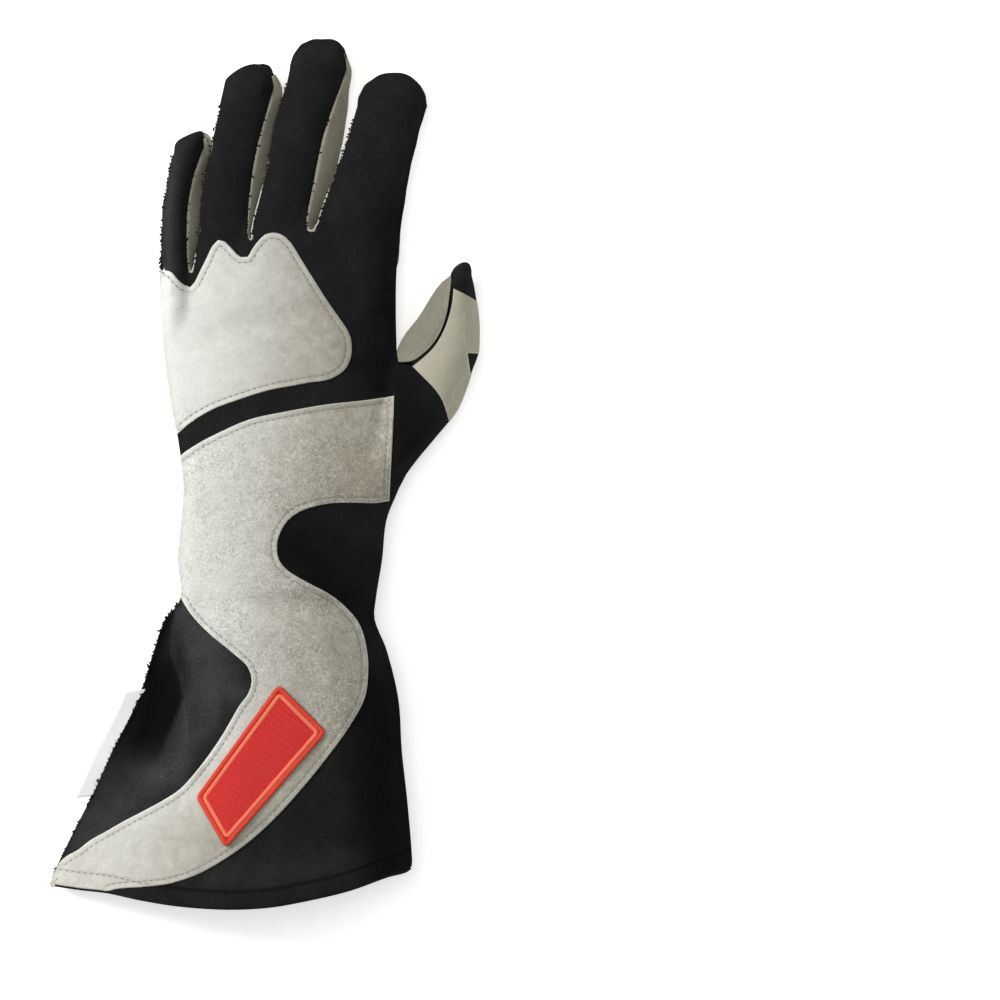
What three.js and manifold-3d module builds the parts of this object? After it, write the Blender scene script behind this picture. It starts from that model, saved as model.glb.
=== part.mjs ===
// A left-hand racing glove with a long flared cuff, lying on its palm.
// X runs toward the thumb, Y toward the fingertips and Z up out of the back of the hand.
// The origin is on the flat underside of the palm patch. Lengths are millimetres.
import * as THREE from 'three';
import { mergeVertices } from 'three/addons/utils/BufferGeometryUtils.js';
import Module from 'manifold-3d';

const wasm = await Module();
wasm.setup();

// Driving dimensions
const WALL = 2;
const PATCH = 1.4;
const GAP = 0.5;
const FOLD_LAP = 0.5;
const SIMPLIFY = 0.19;
const FINGER_CROWN = 18;
const BACK_RIM = 13.6;
const PALM_RIM = 3.6;
const TIP_SEAM = 8;
const OUTER_SEAM = 9;
const THUMB_CROWN = 22;
const THUMB_FOLD = 10.5;
const FLAT_SHARE = 0.45;
const STRIP = 1.7;
const STRIP_INSET = 0.6;
const STRIP_REACH = 3;
const STRIP_TURN = 3;
const STRIP_SPANS = 4;
const LIMB_SPANS = 6;
const TIP_TURNS = [30, 60];
const TRUNK_ENDS = { left: { top: 34, bottom: -226 }, right: { top: 49, bottom: -231 } };
const TRUNK_STEP = 10;
const INDEX_ROOT = { x: 54.5, y: 52 };
const WRIST_Y = -90;
const HEM_DEPTH = 8;
const HEM_FOLD = 1.4;
const HEM_SETBACK = 8;
const PALM_BASE = 0.4;
const THUMB_BASE = 1.8;
const THUMB_END = -50;
const PATCH_LEAST = 1.2;

// How square each crowned profile is across: 2 is a parabola, more is flatter with steeper sides
const SQUARE = { trunk: 2.4, finger: 2.4, thumb: 2.6, trunkUnder: 2.6, fingerUnder: 2.8, thumbUnder: 3 };
// How steeply each surface sinks where it runs on inside its neighbour
const SINK = { trunk: 0.45, finger: 0.35, thumb: 0.3, aside: 0.6 };
// How far a finger's root stands off the knuckles, and where that starts and ends
const ROOT = { top: 1.5, under: 1.4, from: 80, topTo: 40, underTo: 50, inside: 20 };
// How softly limbs run together on the back, the fingers' undersides and the thumb's underside
const BLEND = { back: 2, finger: 1, thumb: 2 };

const BADGE = { x: -11, y: -191, length: 67, width: 30, corner: 3, turn: 51.6, thick: 1.6 };
const LABEL = { top: -156, bottom: -205, reach: 7, thick: 1.2 };

// Hand and cuff: the two side edges, the crown's height, the side seams' heights, the lowest
// surface, and how far the right edge is a fold (1) in place of a seam (0)
const TRUNK = [
  { y: 62, left: -55, right: 55.8, crown: 20, seamLeft: 9, seamRight: 9, base: 1.8, fold: 0 },
  { y: 36, left: -55, right: 53.5, crown: 22, seamLeft: 9, seamRight: 9, base: 1.8, fold: 0 },
  { y: 4.5, left: -54, right: 53.5, crown: 25, seamLeft: 11, seamRight: 10.5, base: 1.8, fold: 0 },
  { y: -23, left: -50.5, right: 55, crown: 27, seamLeft: 12, seamRight: 10.5, base: 1.8, fold: 0 },
  { y: -41.5, left: -47, right: 60, crown: 28, seamLeft: 12, seamRight: 10.5, base: 1.8, fold: 1 },
  { y: -62.5, left: -44.5, right: 55, crown: 29, seamLeft: 13, seamRight: 11, base: 1.8, fold: 1 },
  { y: -78, left: -45.5, right: 49, crown: 29, seamLeft: 13, seamRight: 12, base: 1.8, fold: 1 },
  { y: -96, left: -47, right: 47, crown: 29, seamLeft: 13, seamRight: 13, base: 2.4, fold: 0 },
  { y: -115, left: -46, right: 44, crown: 30, seamLeft: 13, seamRight: 13, base: 2.4, fold: 0 },
  { y: -124, left: -53, right: 43.5, crown: 31, seamLeft: 12.5, seamRight: 13, base: 1.8, fold: 0 },
  { y: -138, left: -58, right: 49, crown: 32, seamLeft: 12, seamRight: 14, base: 1, fold: 0 },
  { y: -161, left: -65.5, right: 54.5, crown: 34, seamLeft: 11, seamRight: 15, base: 0, fold: 0 },
  { y: -184, left: -77, right: 56, crown: 37, seamLeft: 10, seamRight: 15, base: 0, fold: 0 },
  { y: -207, left: -87.5, right: 58.5, crown: 40, seamLeft: 8.5, seamRight: 15, base: 0, fold: 0 },
  { y: -230, left: -99, right: 60.5, crown: 42, seamLeft: 7, seamRight: 15, base: 0, fold: 0 },
  { y: -258, left: -112, right: 62, crown: 44, seamLeft: 6, seamRight: 15, base: 0, fold: 0 },
];

// Edge of the cuff's mouth, from the little-finger side to the thumb side
const HEM = [
  { x: -130, y: -240 },
  { x: -105.5, y: -246 },
  { x: -60, y: -253 },
  { x: -18.5, y: -256 },
  { x: 23, y: -250 },
  { x: 61, y: -238 },
  { x: 80, y: -230 },
];

// Bottoms of the gaps between the fingers, and where the row of knuckles ends at each side
const CROTCHES = [
  { x: -60, y: 33 },
  { x: -41, y: 35.5 },
  { x: -13.5, y: 50.5 },
  { x: 14.5, y: 54.5 },
  { x: 60, y: 50 },
];

// Each finger's two side edges from the root up, on the back and on the palm panel
const FINGERS = [
  {
    name: 'little',
    open: { left: 0, right: 1 },
    back: [
      { y: 20, left: -55.5, right: -41 },
      { y: 34.5, left: -55, right: -42.5 },
      { y: 60, left: -54.5, right: -43 },
      { y: 78, left: -52, right: -40.5 },
      { y: 94, left: -49.5, right: -35 },
    ],
    backTip: { x: -37, y: 101 },
    palm: [
      { y: 20, left: -55.5, right: -38 },
      { y: 34.5, left: -55, right: -40 },
      { y: 60, left: -54, right: -36.5 },
      { y: 78, left: -51, right: -35.5 },
      { y: 94, left: -48, right: -31.5 },
    ],
    palmTip: { x: -36, y: 100.5 },
  },
  {
    name: 'ring',
    open: { left: 1, right: 1 },
    back: [
      { y: 20, left: -42, right: -15 },
      { y: 50.5, left: -37.5, right: -15.5 },
      { y: 73.5, left: -35.5, right: -14 },
      { y: 96.5, left: -31, right: -10 },
      { y: 120.5, left: -26, right: -3 },
    ],
    backTip: { x: -10, y: 132 },
    palm: [
      { y: 20, left: -39, right: -13 },
      { y: 50.5, left: -35, right: -12.5 },
      { y: 73.5, left: -31.5, right: -8.5 },
      { y: 96.5, left: -27, right: -4 },
      { y: 120.5, left: -22.5, right: 1 },
    ],
    palmTip: { x: -8, y: 130.5 },
  },
  {
    name: 'middle',
    open: { left: 1, right: 1 },
    back: [
      { y: 25, left: -15, right: 12 },
      { y: 55, left: -12.5, right: 11.5 },
      { y: 78, left: -7, right: 15.5 },
      { y: 101, left: -3, right: 20.5 },
      { y: 129, left: 4.5, right: 30.5 },
    ],
    backTip: { x: 19.5, y: 143.5 },
    palm: [
      { y: 25, left: -12, right: 15 },
      { y: 55, left: -9, right: 17 },
      { y: 78, left: -3, right: 24 },
      { y: 101, left: 1.5, right: 29 },
      { y: 129, left: 8, right: 32 },
    ],
    palmTip: { x: 21.5, y: 141.5 },
  },
  {
    name: 'index',
    open: { left: 1, right: 0 },
    back: [
      { y: 25, left: 15, right: 53.5 },
      { y: 56, left: 17.5, right: 55.5 },
      { y: 78, left: 24.5, right: 59 },
      { y: 99, left: 31.5, right: 63.5 },
      { y: 112.5, left: 35.5, right: 67.5 },
    ],
    backTip: { x: 52, y: 128 },
    palm: [
      { y: 25, left: 18, right: 53.5 },
      { y: 56, left: 20.5, right: 55.5 },
      { y: 78, left: 28, right: 58.5 },
      { y: 99, left: 34.5, right: 63 },
      { y: 112.5, left: 39, right: 66.5 },
    ],
    palmTip: { x: 53, y: 126.5 },
  },
];

const THUMB_ROWS = [
  { y: -60, left: 30, right: 56 },
  { y: -50.5, left: 34, right: 63 },
  { y: -41.5, left: 38, right: 70.5 },
  { y: -28.5, left: 43, right: 81 },
  { y: -18.5, left: 47, right: 85.5 },
  { y: -5.5, left: 51.5, right: 89 },
  { y: 6, left: 56.5, right: 91.5 },
  { y: 15, left: 63.5, right: 91.5 },
  { y: 30, left: 73, right: 88.5 },
];
const THUMB_TIP = { x: 84, y: 40.5 };

// Long soft folds on the back: the line each follows, how far it rises and its width
const BACK_FOLDS = [
  { x1: -47, y1: -112, x2: -50, y2: -142, rise: 3, width: 8 },
  { x1: -50, y1: -142, x2: -42, y2: -190, rise: 3.5, width: 10 },
  { x1: -56, y1: -152, x2: -60, y2: -186, rise: -2, width: 9 },
  { x1: -34, y1: -120, x2: 32, y2: -117, rise: -2.5, width: 10 },
  { x1: 20, y1: -135, x2: 34, y2: -215, rise: 2, width: 12 },
  { x1: -6, y1: -200, x2: -14, y2: -256, rise: -1.5, width: 14 },
  { x1: -30, y1: 8, x2: 34, y2: 22, rise: -1.2, width: 8 },
  { x1: 40, y1: -8, x2: 52, y2: -22, rise: -1.5, width: 7 },
  { x1: -34, y1: 83, x2: -10, y2: 80, rise: -1, width: 5 },
  { x1: -3, y1: 90, x2: 19, y2: 86, rise: -1, width: 5 },
  { x1: 28, y1: 82, x2: 60, y2: 76, rise: -1, width: 5 },
];

// Soft channels and hollows of the palm side, which rise from the floor
const PALM_FOLDS = [
  { x1: 6, y1: -118, x2: -2, y2: -236, rise: 3, width: 9 },
  { x1: -34, y1: -126, x2: -52, y2: -215, rise: 2, width: 10 },
  { x1: 32, y1: -122, x2: 40, y2: -210, rise: 2, width: 9 },
  { x1: -22, y1: 92, x2: 60, y2: 88, rise: 1, width: 5 },
];

// Puckers that the wrist's elastic draws into the palm side
const GATHER = { x1: -14, x2: 44, y: -90, pitch: 8, height: 1.6, reach: 22 };

// Seams of the palm side: the wrist's, the palm's with the thumb piece, the thumb piece's with
// the back panel's wrap under the thumb, and the thumb piece's edge on top of the thumb
const SEAM_LINES = {
  wrist: [
    { x: -80, y: -92 }, { x: -47, y: -89 }, { x: -30, y: -87 }, { x: 0, y: -85.5 },
    { x: 18.5, y: -86 }, { x: 35, y: -89 }, { x: 49, y: -92 }, { x: 80, y: -96 },
  ],
  gusset: [
    { x: 53.5, y: 1 }, { x: 45, y: 6.5 }, { x: 33, y: 13 }, { x: 23.5, y: 11 }, { x: 16, y: 3.5 },
    { x: 11, y: -6.5 }, { x: 8.5, y: -18.5 }, { x: 9.5, y: -32 }, { x: 14, y: -44.5 },
    { x: 23, y: -59 },
  ],
  thumbUnder: [
    { x: 79, y: 52 }, { x: 78.5, y: 36 }, { x: 77, y: 26 }, { x: 74, y: 16 }, { x: 69, y: 7 },
    { x: 62, y: -1.5 }, { x: 53, y: -9.5 }, { x: 42.5, y: -17.5 }, { x: 35, y: -26 },
    { x: 30, y: -37 }, { x: 25.5, y: -48.5 }, { x: 23, y: -59 }, { x: 21.5, y: -71.5 },
    { x: 18.5, y: -100 },
  ],
  thumbTop: [
    { x: 79, y: 52 }, { x: 78.5, y: 36 }, { x: 78, y: 27 }, { x: 77, y: 17 }, { x: 73.5, y: 8 },
    { x: 69, y: 1.5 }, { x: 64, y: -3 }, { x: 60, y: -6 },
  ],
};

// Corners that close the plan on the far side of each seam, well outside the glove
const BEYOND = {
  wrist: [{ x: 80, y: -290 }, { x: -140, y: -290 }, { x: -140, y: -92 }],
  gusset: [{ x: 21.5, y: -71.5 }, { x: 18.5, y: -100 }],
  gussetFar: [{ x: 120, y: -100 }, { x: 120, y: 60 }, { x: 62, y: 60 }, { x: 55.7, y: 8 }],
  thumbUnder: [{ x: 130, y: -100 }, { x: 130, y: 52 }],
  thumbTop: [{ x: 53.6, y: -6 }],
  thumbTopFar: [{ x: 53.6, y: 1.5 }, { x: 56, y: 8 }, { x: 50, y: 52 }],
};

// The part of the back panel that wraps under the heel of the thumb
const HEEL = [
  { x: 22, y: -62 }, { x: 34, y: -48 }, { x: 56, y: -48 }, { x: 64, y: -50 }, { x: 60, y: -58 },
  { x: 55, y: -64 }, { x: 50, y: -78 }, { x: 49, y: -91 }, { x: 20, y: -90 },
];

// Patch outlines: points of a smooth closed curve, where turn marks a sharp corner
const KNUCKLE_PATCH = [
  { x: -56, y: 36, turn: 1 }, { x: -49.5, y: 35.5 }, { x: -44, y: 30 }, { x: -39.5, y: 31 },
  { x: -34, y: 42 }, { x: -29, y: 50 }, { x: -24, y: 48 }, { x: -17.5, y: 42.5 },
  { x: -13, y: 46 }, { x: -8, y: 52.5 }, { x: -1, y: 53.5 }, { x: 5, y: 49 }, { x: 15, y: 33.5 },
  { x: 27.5, y: 15 }, { x: 33, y: 2 }, { x: 31, y: -9 }, { x: 23, y: -13.5 }, { x: 4.5, y: -16.5 },
  { x: -18.5, y: -22.5 }, { x: -39, y: -31.5 }, { x: -46, y: -39.5 }, { x: -49, y: -46, turn: 1 },
];
const WRIST_PATCH = [
  { x: -49, y: -51, turn: 1 }, { x: -42, y: -46 }, { x: -30, y: -38.5 }, { x: -14, y: -32 },
  { x: 14, y: -26 }, { x: 52.5, y: -21, turn: 1 }, { x: 52, y: -37 }, { x: 50.2, y: -69.5, turn: 1 },
  { x: 32, y: -70.2 }, { x: 16, y: -71.5 }, { x: 4.5, y: -77 }, { x: -1, y: -86 }, { x: 0, y: -96.5 },
  { x: 7, y: -104 }, { x: 21, y: -112 }, { x: 32, y: -120 }, { x: 38.5, y: -131 }, { x: 40.5, y: -146 },
  { x: 36, y: -167 }, { x: 22, y: -187 }, { x: 2, y: -211 }, { x: -21, y: -231 }, { x: -43, y: -243.5 },
  { x: -60, y: -246.5 }, { x: -79, y: -247.5 }, { x: -106.5, y: -246.5, turn: 1 },
  { x: -93.5, y: -230.5 }, { x: -71.5, y: -216 }, { x: -46, y: -202.5 }, { x: -32, y: -185.5 },
  { x: -18.5, y: -163.5 }, { x: -13.5, y: -149.5 }, { x: -18, y: -142 }, { x: -33, y: -129 },
  { x: -42, y: -119 }, { x: -46.5, y: -111, turn: 1 },
];
const PALM_PATCH = [
  { x: -53, y: 40.5 }, { x: -47, y: 44.5 }, { x: -41, y: 36 }, { x: -36, y: 32.5 }, { x: -31, y: 38 },
  { x: -25, y: 49.5 }, { x: -18, y: 48 }, { x: -11, y: 43.5 }, { x: -4, y: 49 }, { x: 5, y: 54.5 },
  { x: 12, y: 52.5 }, { x: 18, y: 47.5 }, { x: 26, y: 51 }, { x: 37, y: 57.5 }, { x: 47, y: 55 },
  { x: 50.5, y: 45 }, { x: 48, y: 27 }, { x: 41, y: 19.5 }, { x: 29, y: 15 }, { x: 17, y: 11.5 },
  { x: 9, y: 2 }, { x: 5.5, y: -16 }, { x: 3.5, y: -40 }, { x: -3, y: -54 }, { x: -17, y: -60 },
  { x: -34, y: -62 }, { x: -42, y: -54 }, { x: -46, y: -32 }, { x: -51, y: 0 }, { x: -53, y: 25 },
];
const THUMB_PATCH_TOP = [
  { x: 80, y: 26.5, turn: 1 }, { x: 85, y: 25 }, { x: 97, y: 21, turn: 1 }, { x: 97, y: -1.5, turn: 1 },
  { x: 86.5, y: -1.5, turn: 1 }, { x: 87.5, y: -10, turn: 1 }, { x: 97, y: -12, turn: 1 },
  { x: 97, y: -37, turn: 1 }, { x: 76.5, y: -37, turn: 1 }, { x: 77.5, y: -29 }, { x: 72.5, y: -18.5 },
  { x: 62, y: -8.5, turn: 1 }, { x: 71, y: 1 }, { x: 76, y: 8 }, { x: 79, y: 17 },
];
const THUMB_LOBES = [
  { y1: 22, y2: -1.5, reach: 7 },
  { y1: -11, y2: -35, reach: 5 },
];

// Helpers

function mix(a, b, t) {
  return a + (b - a) * t;
}

function clamp(value, low, high) {
  return Math.min(high, Math.max(low, value));
}

function smooth(low, high, value) {
  const t = clamp((value - low) / (high - low), 0, 1);
  return t * t * (3 - 2 * t);
}

// A smooth union of two heights, the higher one winning (k > 0)
function softMax(a, b, k) {
  const h = Math.max(k - Math.abs(a - b), 0) / k;
  return Math.max(a, b) + h * h * k / 4;
}

// One column of a table, as a smooth curve through its rows (sorted by y either way)
function along(rows, y, column) {
  const list = rows[0].y < rows[rows.length - 1].y ? rows : [...rows].reverse();
  if (y <= list[0].y) return list[0][column];
  const last = list.length - 1;
  if (y >= list[last].y) return list[last][column];
  let i = 0;
  while (y > list[i + 1].y) i += 1;
  const slope = (k) => {
    const a = list[Math.max(k - 1, 0)];
    const b = list[Math.min(k + 1, last)];
    return (b[column] - a[column]) / (b.y - a.y);
  };
  const span = list[i + 1].y - list[i].y;
  const t = (y - list[i].y) / span;
  const t2 = t * t;
  const t3 = t2 * t;
  return (2 * t3 - 3 * t2 + 1) * list[i][column] + (t3 - 2 * t2 + t) * span * slope(i)
    + (3 * t2 - 2 * t3) * list[i + 1][column] + (t3 - t2) * span * slope(i + 1);
}

// Height of a broken line over x
function lineAt(points, x) {
  let i = 0;
  while (i < points.length - 2 && x > points[i + 1].x) i += 1;
  const t = clamp((x - points[i].x) / (points[i + 1].x - points[i].x), 0, 1);
  return mix(points[i].y, points[i + 1].y, t);
}

// How far y has gone into a limb's rounded tip, from 0 at the last row to 1 at the apex
function tipShare(rows, tip, y) {
  const start = rows[rows.length - 1].y;
  return clamp((y - start) / (tip.y - start), 0, 1);
}

// The left and right edge of a limb at y; the tip is closed by two quarter ellipses
function limbEdges(rows, tip, y) {
  const round = Math.sqrt(1 - tipShare(rows, tip, y) ** 2);
  return [
    mix(tip.x, along(rows, y, 'left'), round),
    mix(tip.x, along(rows, y, 'right'), round),
  ];
}

// Crowned profile across a piece: 1 in the middle, 0 at the edges, and outside them either
// held at 0 or falling away
function crowned(u, power, held = false) {
  const a = Math.abs(u);
  if (a < 1) return 1 - a ** power;
  return held ? 0 : power * SINK.aside * (1 - a);
}

function foldRise(folds, x, y) {
  let total = 0;
  for (const fold of folds) {
    const dx = fold.x2 - fold.x1;
    const dy = fold.y2 - fold.y1;
    const t = clamp(((x - fold.x1) * dx + (y - fold.y1) * dy) / (dx * dx + dy * dy), 0, 1);
    const d = Math.hypot(x - fold.x1 - t * dx, y - fold.y1 - t * dy) / fold.width;
    total += fold.rise * Math.exp(-2.5 * d * d);
  }
  return total;
}

// Heights of the glove's upper and lower outer surface

// Outer surface at a seam, where two walls lie on each other; at a fold they lap and join
function rimLift(fold) {
  return mix(WALL + GAP * 0.7, WALL - FOLD_LAP / 2, clamp(fold, 0, 1));
}

function trunkFrame(x, y) {
  const left = along(TRUNK, y, 'left');
  const right = along(TRUNK, y, 'right');
  const u = (2 * x - left - right) / (right - left);
  const side = clamp((u + 1) / 2, 0, 1);
  const seam = mix(along(TRUNK, y, 'seamLeft'), along(TRUNK, y, 'seamRight'), side);
  const lift = rimLift(along(TRUNK, y, 'fold') * smooth(0.4, 0.9, side));
  return { u, seam, lift, past: Math.max(0, y - lineAt(CROTCHES, x)), held: u < 0 || y < WRIST_Y };
}

function trunkTop(x, y) {
  const { u, seam, lift, past, held } = trunkFrame(x, y);
  const rim = seam + lift;
  return rim + (along(TRUNK, y, 'crown') - rim) * crowned(u, SQUARE.trunk, held) - past * SINK.trunk;
}

function trunkUnder(x, y) {
  const { u, seam, lift, past, held } = trunkFrame(x, y);
  const rim = seam - lift;
  const flat = Math.max(0, Math.abs(u) - FLAT_SHARE) / (1 - FLAT_SHARE);
  const drop = (rim - along(TRUNK, y, 'base')) * crowned(flat, SQUARE.trunkUnder, held);
  return rim - drop + past * SINK.trunk;
}

function fingerRim(finger, u, v, openRim, closedRim, tipRim) {
  const left = finger.open.left ? openRim : closedRim;
  const right = finger.open.right ? openRim : closedRim;
  return mix(mix(left, right, clamp((u + 1) / 2, 0, 1)), tipRim, v);
}

// The outer side of the little finger, past which nothing lies
function pastLittle(finger, u) {
  return u < 0 && !finger.open.left;
}

function limbFrame(rows, tip, x, y) {
  const [left, right] = limbEdges(rows, tip, Math.min(y, tip.y - 0.4));
  const v = smooth(rows[rows.length - 1].y - 12, tip.y, y);
  return { u: (2 * x - left - right) / (right - left), v };
}

function fingerTop(finger, x, y) {
  const { u, v } = limbFrame(finger.back, finger.backTip, x, y);
  const lift = rimLift(0);
  const rim = fingerRim(finger, u, v, BACK_RIM, OUTER_SEAM + lift, TIP_SEAM + lift);
  const crown = mix(FINGER_CROWN, rim, v ** 3);
  const root = ROOT.top * smooth(ROOT.from, ROOT.topTo, y) - SINK.finger * Math.max(0, ROOT.inside - y);
  return rim + (crown - rim) * crowned(u, SQUARE.finger, pastLittle(finger, u)) + root;
}

function fingerUnder(finger, x, y) {
  const { u, v } = limbFrame(finger.palm, finger.palmTip, x, y);
  const lift = rimLift(0);
  const rim = fingerRim(finger, u, v, PALM_RIM, OUTER_SEAM - lift, TIP_SEAM - lift);
  const base = mix(PALM_BASE, rim, v ** 3);
  const root = ROOT.under * smooth(ROOT.from, ROOT.underTo, y)
    + SINK.finger * Math.max(0, ROOT.inside - y);
  return rim - (rim - base) * crowned(u, SQUARE.fingerUnder, pastLittle(finger, u)) + root;
}

// The thumb's edges are folds, apart from the stretch inside the hand
function thumbLift(u, y) {
  return rimLift(Math.max(smooth(2, 8, y), smooth(-0.2, 0.4, u)));
}

function thumbTop(x, y) {
  const { u, v } = limbFrame(THUMB_ROWS, THUMB_TIP, x, y);
  const rim = THUMB_FOLD + thumbLift(u, y);
  const crown = mix(THUMB_CROWN, rim + WALL, v ** 2);
  return rim + (crown - rim) * crowned(u, SQUARE.thumb) - SINK.thumb * Math.max(0, THUMB_END - y);
}

function thumbUnder(x, y) {
  const { u, v } = limbFrame(THUMB_ROWS, THUMB_TIP, x, y);
  const rim = THUMB_FOLD - thumbLift(u, y);
  const base = mix(THUMB_BASE, rim - WALL, v ** 2);
  return rim - (rim - base) * crowned(u, SQUARE.thumbUnder) + SINK.thumb * Math.max(0, THUMB_END - y);
}

// The outer surface of the glove's back
function backTop(x, y) {
  let z = trunkTop(x, y);
  for (const finger of FINGERS) z = softMax(z, fingerTop(finger, x, y), BLEND.back);
  z = softMax(z, thumbTop(x, y), BLEND.back);
  return z + foldRise(BACK_FOLDS, x, y);
}

// The outer surface of the palm side, nearest to the floor
function palmUnder(x, y) {
  let z = trunkUnder(x, y);
  for (const finger of FINGERS) z = -softMax(-z, -fingerUnder(finger, x, y), BLEND.finger);
  z = -softMax(-z, -thumbUnder(x, y), BLEND.thumb);
  const across = smooth(GATHER.x1 - 6, GATHER.x1 + 6, x) * smooth(GATHER.x2 + 6, GATHER.x2 - 6, x);
  const near = Math.exp(-(((y - GATHER.y) / GATHER.reach) ** 2));
  const ripple = GATHER.height * (1 - Math.cos((2 * Math.PI * x) / GATHER.pitch)) / 2;
  return z + foldRise(PALM_FOLDS, x, y) + ripple * across * near;
}

// Solids

// Grid lines of every sheet: closer over the fingers than over the cuff
const COLUMNS = [{ from: -117, to: 99, step: 7.2 }];
const ROWS = [
  { from: -262, to: -94, step: 12 },
  { from: -94, to: 26, step: 10 },
  { from: 26, to: 150, step: 8 },
];

function gridLines(bands) {
  const lines = [bands[0].from];
  for (const band of bands) {
    const count = Math.round((band.to - band.from) / band.step);
    for (let i = 1; i <= count; i += 1) lines.push(mix(band.from, band.to, i / count));
  }
  return lines;
}

const GRID_X = gridLines(COLUMNS);
const GRID_Y = gridLines(ROWS);

function solidFrom(geometry) {
  geometry.deleteAttribute('normal');
  geometry.deleteAttribute('uv');
  const merged = mergeVertices(geometry, 1e-5);
  return new wasm.Manifold(new wasm.Mesh({
    numProp: 3,
    vertProperties: new Float32Array(merged.attributes.position.array),
    triVerts: new Uint32Array(merged.index.array),
  }));
}

// A sheet over the whole plan between two heights given as functions of x and y. Its upper and
// lower faces have the same triangles, so sheets that are laid on each other nest exactly.
function sheet(lower, upper) {
  const wide = GRID_X.length - 1;
  const deep = GRID_Y.length - 1;
  const plane = new THREE.PlaneGeometry(wide, deep, wide, deep);
  const plan = plane.attributes.position;
  const count = plan.count;
  const corners = new Float32Array(count * 6);
  for (let i = 0; i < count; i += 1) {
    const x = GRID_X[Math.round(plan.getX(i) + wide / 2)];
    const y = GRID_Y[Math.round(plan.getY(i) + deep / 2)];
    corners.set([x, y, upper(x, y)], i * 3);
    corners.set([x, y, lower(x, y)], (count + i) * 3);
  }
  const faces = [...plane.index.array];
  const under = [...plane.index.array].reverse().map((k) => k + count);
  const rim = [];
  for (let i = 0; i < wide; i += 1) rim.push(deep * (wide + 1) + i);
  for (let j = deep; j > 0; j -= 1) rim.push(j * (wide + 1) + wide);
  for (let i = wide; i > 0; i -= 1) rim.push(i);
  for (let j = 0; j < deep; j += 1) rim.push(j * (wide + 1));
  rim.forEach((from, i) => {
    const to = rim[(i + 1) % rim.length];
    faces.push(from + count, to + count, to, from + count, to, from);
  });
  return new wasm.Manifold(new wasm.Mesh({
    numProp: 3,
    vertProperties: corners,
    triVerts: new Uint32Array([...faces, ...under]),
  }));
}

// An upright prism over a plan outline
function prism(points, low = -20, high = 80) {
  const shape = new THREE.Shape(points.map((p) => new THREE.Vector2(p.x, p.y)));
  const geometry = new THREE.ExtrudeGeometry(shape, { depth: high - low, bevelEnabled: false });
  geometry.translate(0, 0, low);
  return solidFrom(geometry);
}

function curveThrough(points, samples) {
  const curve = new THREE.CatmullRomCurve3(
    points.map((p) => new THREE.Vector3(p.x, p.y, 0)), false, 'centripetal',
  );
  return curve.getPoints(samples);
}

function shifted(points, dx, dy) {
  return points.map((p) => ({ x: p.x + dx, y: p.y + dy }));
}

// A closed outline that is smooth between the points that turn sharply
function outline(points, perSpan = 1) {
  const first = Math.max(0, points.findIndex((p) => p.turn));
  const ring = [...points.slice(first), ...points.slice(0, first), points[first]];
  const result = [];
  let run = [ring[0]];
  for (const point of ring.slice(1)) {
    run.push(point);
    if (point.turn || point === ring[ring.length - 1]) {
      const samples = run.length === 2 ? 1 : (run.length - 1) * perSpan;
      result.push(...curveThrough(run, samples).slice(0, -1));
      run = [point];
    }
  }
  return result;
}

// The plan of a limb, grown by some width on each side
function limbPlan(rows, tip, grow = 0) {
  const left = [];
  const right = [];
  const start = rows[0].y;
  const end = rows[rows.length - 1].y;
  for (let i = 0; i <= LIMB_SPANS; i += 1) {
    const y = mix(start, end, i / LIMB_SPANS);
    left.push({ x: along(rows, y, 'left') - grow, y });
    right.push({ x: along(rows, y, 'right') + grow, y });
  }
  for (const turn of TIP_TURNS) {
    const y = mix(end, tip.y + grow, Math.sin(THREE.MathUtils.degToRad(turn)));
    const round = Math.cos(THREE.MathUtils.degToRad(turn));
    left.push({ x: mix(tip.x, along(rows, end, 'left') - grow, round), y });
    right.push({ x: mix(tip.x, along(rows, end, 'right') + grow, round), y });
  }
  return [...right, { x: tip.x, y: tip.y + grow }, ...left.reverse()];
}

// The plan of the hand and cuff below the gaps between the fingers
function trunkPlan(grow = 0) {
  const side = (column, sign) => {
    const points = [];
    const count = Math.round((TRUNK_ENDS[column].top - TRUNK_ENDS[column].bottom) / TRUNK_STEP);
    for (let i = 0; i <= count; i += 1) {
      const y = mix(TRUNK_ENDS[column].top, TRUNK_ENDS[column].bottom, i / count);
      points.push({ x: along(TRUNK, y, column) + sign * grow, y });
    }
    return points;
  };
  const mouth = curveThrough(HEM.slice(1, -1), 8);
  const hem = grow < 0 ? mouth.slice(1, -1) : mouth;
  const top = CROTCHES.slice(1, -1).reverse();
  return [...side('left', -1), ...hem, ...side('right', 1).reverse(), INDEX_ROOT, ...top];
}

function joined(solids) {
  return solids.reduce((total, solid) => total.add(solid));
}

// A solid on one side of a line that crosses the whole plan
function sideOf(line, far) {
  return prism([...curveThrough(line, line.length - 1), ...far]);
}

// Plans of the panels

const backFingers = FINGERS.map((f) => prism(limbPlan(f.back, f.backTip)));
const palmFingers = FINGERS.map((f) => prism(limbPlan(f.palm, f.palmTip)));
const trunk = prism(trunkPlan());
const thumb = prism(limbPlan(THUMB_ROWS, THUMB_TIP));
const heel = prism(HEEL);
const hand = trunk.add(thumb);

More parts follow.
